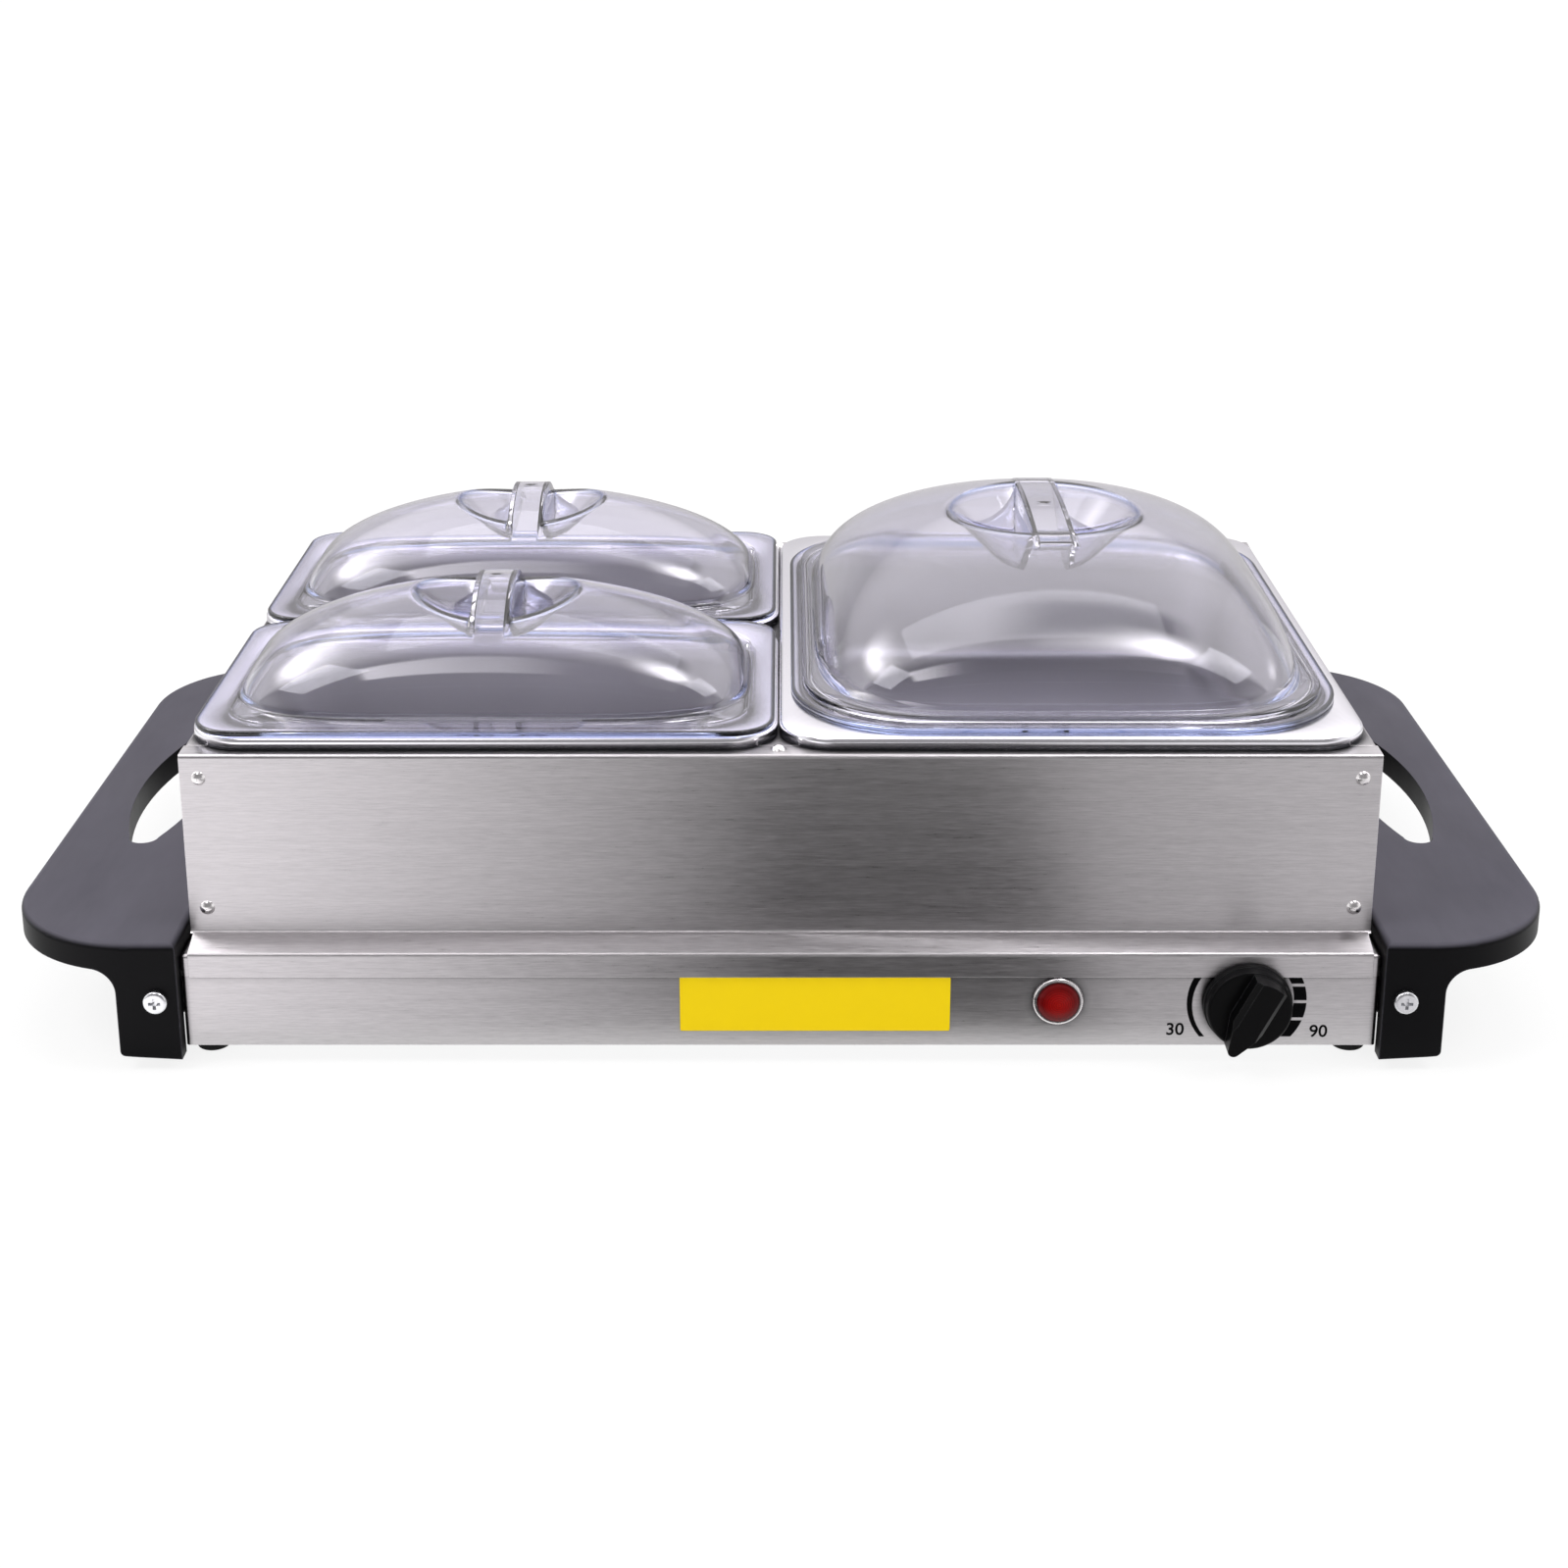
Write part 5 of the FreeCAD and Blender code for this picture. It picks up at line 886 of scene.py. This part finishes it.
# ---- stage ---------------------------------------------------------------------------------------
class Bare(Shader):
    """A material or a world with only an output, for the stage."""

    def __init__(self, owner, output):
        self.material = owner
        owner.use_nodes = True
        self.nodes = owner.node_tree.nodes
        self.links = owner.node_tree.links
        self.nodes.clear()
        self.surface = self.add(output).inputs["Surface"]

    def seen(self):
        """1 for rays from the camera, mirrors and clear plastic, and 0 for those that carry light."""
        path = self.add("LightPath").outputs
        straight = self.math("MAXIMUM", path["Is Camera Ray"], path["Is Transmission Ray"])
        return self.math("MAXIMUM", straight, path["Is Glossy Ray"])

    def glow(self, kind, colour=(1, 1, 1), strength=1.0):
        node = self.add(kind)
        for socket, value in ((node.inputs["Color"], (*colour, 1)), (node.inputs["Strength"], strength)):
            if isinstance(value, (int, float, tuple)):
                socket.default_value = value
            else:
                self.feed(value, socket)
        return node.outputs[0]

    def blended(self, factor, first, second):
        """Surface between two."""
        mix = self.add("MixShader")
        for source, socket in zip((factor, first, second), mix.inputs):
            self.feed(source, socket)
        return mix.outputs[0]


def add_sheet(name, half_x, half_y, material):
    """Flat rectangle round the origin."""
    mesh = bpy.data.meshes.new(name)
    corners = [(-half_x, -half_y, 0), (half_x, -half_y, 0), (half_x, half_y, 0), (-half_x, half_y, 0)]
    mesh.from_pydata(corners, [], [(0, 1, 2, 3)])
    mesh.materials.append(material)
    sheet = bpy.data.objects.new(name, mesh)
    bpy.context.scene.collection.objects.link(sheet)
    return sheet


def build_floor():
    """White floor that keeps a faint shadow near the object."""
    shader = Bare(bpy.data.materials.new("pale_floor"), "OutputMaterial")
    place = shader.parts(shader.place())
    past_x, past_y = (
        shader.math("MAXIMUM", shader.math("SUBTRACT", shader.math("ABSOLUTE", place[axis]), reach))
        for axis, reach in (("X", cad_box[1][0]), ("Y", cad_box[1][1])))
    white = shader.ranged(shader.hypot(past_x, past_y), 1 - SHADOW_KEPT, 1.0, *SHADOW_REACH)
    diffuse = shader.add("BsdfDiffuse")
    diffuse.inputs["Color"].default_value = (FLOOR_GREY, FLOOR_GREY, FLOOR_GREY, 1)
    glow = shader.glow("Emission", strength=FLOOR_GLOW)
    shown = shader.product(shader.seen(), white)
    shader.feed(shader.blended(shown, diffuse.outputs[0], glow), shader.surface)
    floor = add_sheet("floor", FLOOR_HALF, FLOOR_HALF, shader.material)


def build_card(name, x, y, height, level, along="X", soft=0.0, tilt=0.0, through=True):
    """Card that only mirrors see, and the eye through clear plastic where through is true.

    It has one grey level, or levels at places along one axis. A soft card fades out towards its edges.
    """
    half_x, half_y = (x[1] - x[0]) / 2, (y[1] - y[0]) / 2
    stops = level if isinstance(level, tuple) else ((0.0, level),)
    shader = Bare(bpy.data.materials.new(name), "OutputMaterial")
    place = shader.parts(shader.place())
    strength = stops[0][1]
    for (start, from_level), (end, to_level) in zip(stops, stops[1:]):
        change = shader.ranged(place[along], 0.0, to_level - from_level, start, end)
        strength = shader.math("ADD", change, strength)
    surface = shader.glow("Emission", CARD_TINT, strength)
    if soft:
        fades = [shader.ranged(shader.math("ABSOLUTE", place[axis]), 1.0, 0.0, half - soft, half)
                 for axis, half in (("X", half_x), ("Y", half_y))]
        fade = shader.math("POWER", shader.product(*fades), SOFT_POWER)
        surface = shader.blended(fade, shader.add("BsdfTransparent").outputs[0], surface)
    shader.feed(surface, shader.surface)
    card = add_sheet(name, half_x, half_y, shader.material)
    card.location = ((x[0] + x[1]) / 2, (y[0] + y[1]) / 2, height)
    card.rotation_euler = (math.radians(tilt), 0, 0)
    for flag in ("visible_camera", "visible_diffuse", "visible_shadow", "visible_volume_scatter"):
        setattr(card, flag, False)
    card.visible_transmission = through


def build_cards():
    """What the steel and the lids mirror."""
    build_card("front_floor_card", (-0.75, 0.75), (-1.0, -0.205), FLOOR_CARD_HEIGHT, FRONT_STOPS,
               through=False)
    build_card("overhead_card", (-12.0, 12.0), (-0.75, 6.23), 2.2, OVERHEAD_STOPS, along="Y")
    build_card("ceiling_card", ROOM_X, (-2.6, -0.7), 2.22, SIDE_STOPS)
    build_card("room_card", ROOM_X, (-3.7, -1.5), 1.1, SIDE_STOPS, tilt=90.0)
    build_card("rear_card", ROOM_X, (5.1, 7.3), 1.1, REAR_LEVEL, tilt=90.0)
    build_card("rear_floor_card", ROOM_X, (0.25, 6.2), FLOOR_CARD_HEIGHT, REAR_LEVEL)
    build_card("ceiling_gap", (-0.05, 1.25), (-0.45, 0.95), 2.1, 0.30, soft=0.4)
    # The sloping step below the front panel mirrors this one by way of the panel.
    build_card("step_card", (-0.95, 1.0), (-1.35, -0.62), 1.85, STEP_STOPS, soft=0.10)
    build_card("lamp_left", (-2.6, -0.8), (-0.70, 1.55), LAMP_CARD_HEIGHT, 11.0, soft=0.85)
    build_card("lamp_right", (0.22, 1.26), (-0.85, 0.21), LAMP_CARD_HEIGHT, 19.0, soft=0.50)
    build_card("lamp_far_right", (3.4, 6.0), (0.6, 2.8), LAMP_CARD_HEIGHT, 4.0, soft=0.8)


def build_world():
    world = bpy.data.worlds.new("studio")
    bpy.context.scene.world = world
    shader = Bare(world, "OutputWorld")
    level = shader.ranged(shader.seen(), LIGHT_LEVEL, 1.0, 0.0, 1.0)
    shader.feed(shader.glow("Background", strength=level), shader.surface)


def add_lamp(name, place, aim, size, watts):
    """Soft lamp that mirrors don't show."""
    lamp = bpy.data.lights.new(name, "AREA")
    lamp.shape = "RECTANGLE"
    lamp.size, lamp.size_y = size
    lamp.energy = watts
    holder = bpy.data.objects.new(name, lamp)
    bpy.context.scene.collection.objects.link(holder)
    holder.location = place
    holder.rotation_euler = (Vector(aim) - Vector(place)).to_track_quat("-Z", "Y").to_euler()
    holder.visible_glossy = False


def build_lamps():
    add_lamp("key_left", place=(-1.1, -0.5, 1.35), aim=(-0.05, 0.0, 0.1), size=(0.7, 0.7), watts=9.0)
    add_lamp("key_right", place=(1.2, -0.3, 1.35), aim=(0.1, 0.0, 0.1), size=(0.7, 0.7), watts=8.0)
    add_lamp("top", place=(0.0, 0.25, 1.7), aim=(0.0, 0.0, 0.1), size=(1.4, 0.9), watts=9.0)


def build_camera():
    camera = bpy.data.cameras.new("camera")
    camera.lens = CAMERA_LENS
    camera.sensor_width = CAMERA_SENSOR
    camera.shift_y = CAMERA_SHIFT_Y
    camera.clip_start, camera.clip_end = CAMERA_CLIP
    holder = bpy.data.objects.new("camera", camera)
    bpy.context.scene.collection.objects.link(holder)
    holder.location = CAMERA_PLACE
    holder.rotation_euler = (math.radians(90 - CAMERA_PITCH), 0, 0)
    bpy.context.scene.camera = holder


# ---- the object ----------------------------------------------------------------------------------
finish_nodes()
dress_control_panel(flat_finish("print_black", (0.002, 0.002, 0.0025), 0.6, shine=0.04),
                    flat_finish("sticker_film", (0.97, 0.70, 0.008), 0.6, shine=0.05))

pan_steel = pressed_steel("pan_satin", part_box("large_pan")[1].z)
for node, corner in PAN_CORNERS:
    build_pan(node + "_drawn", node, corner, pan_steel)

clear = clear_plastic("clear_polycarbonate")
for node, pan, sizes in (("front_lid", "front_pan", SMALL_LID), ("rear_lid", "rear_pan", SMALL_LID),
                         ("large_lid", "large_pan", LARGE_LID)):
    build_lid(node + "_clear", node, Lid(node, pan, **sizes), clear)

# ---- the picture ---------------------------------------------------------------------------------
build_floor()
build_world()
build_lamps()
build_cards()
build_camera()
bpy.context.scene.view_settings.view_transform = "Standard"
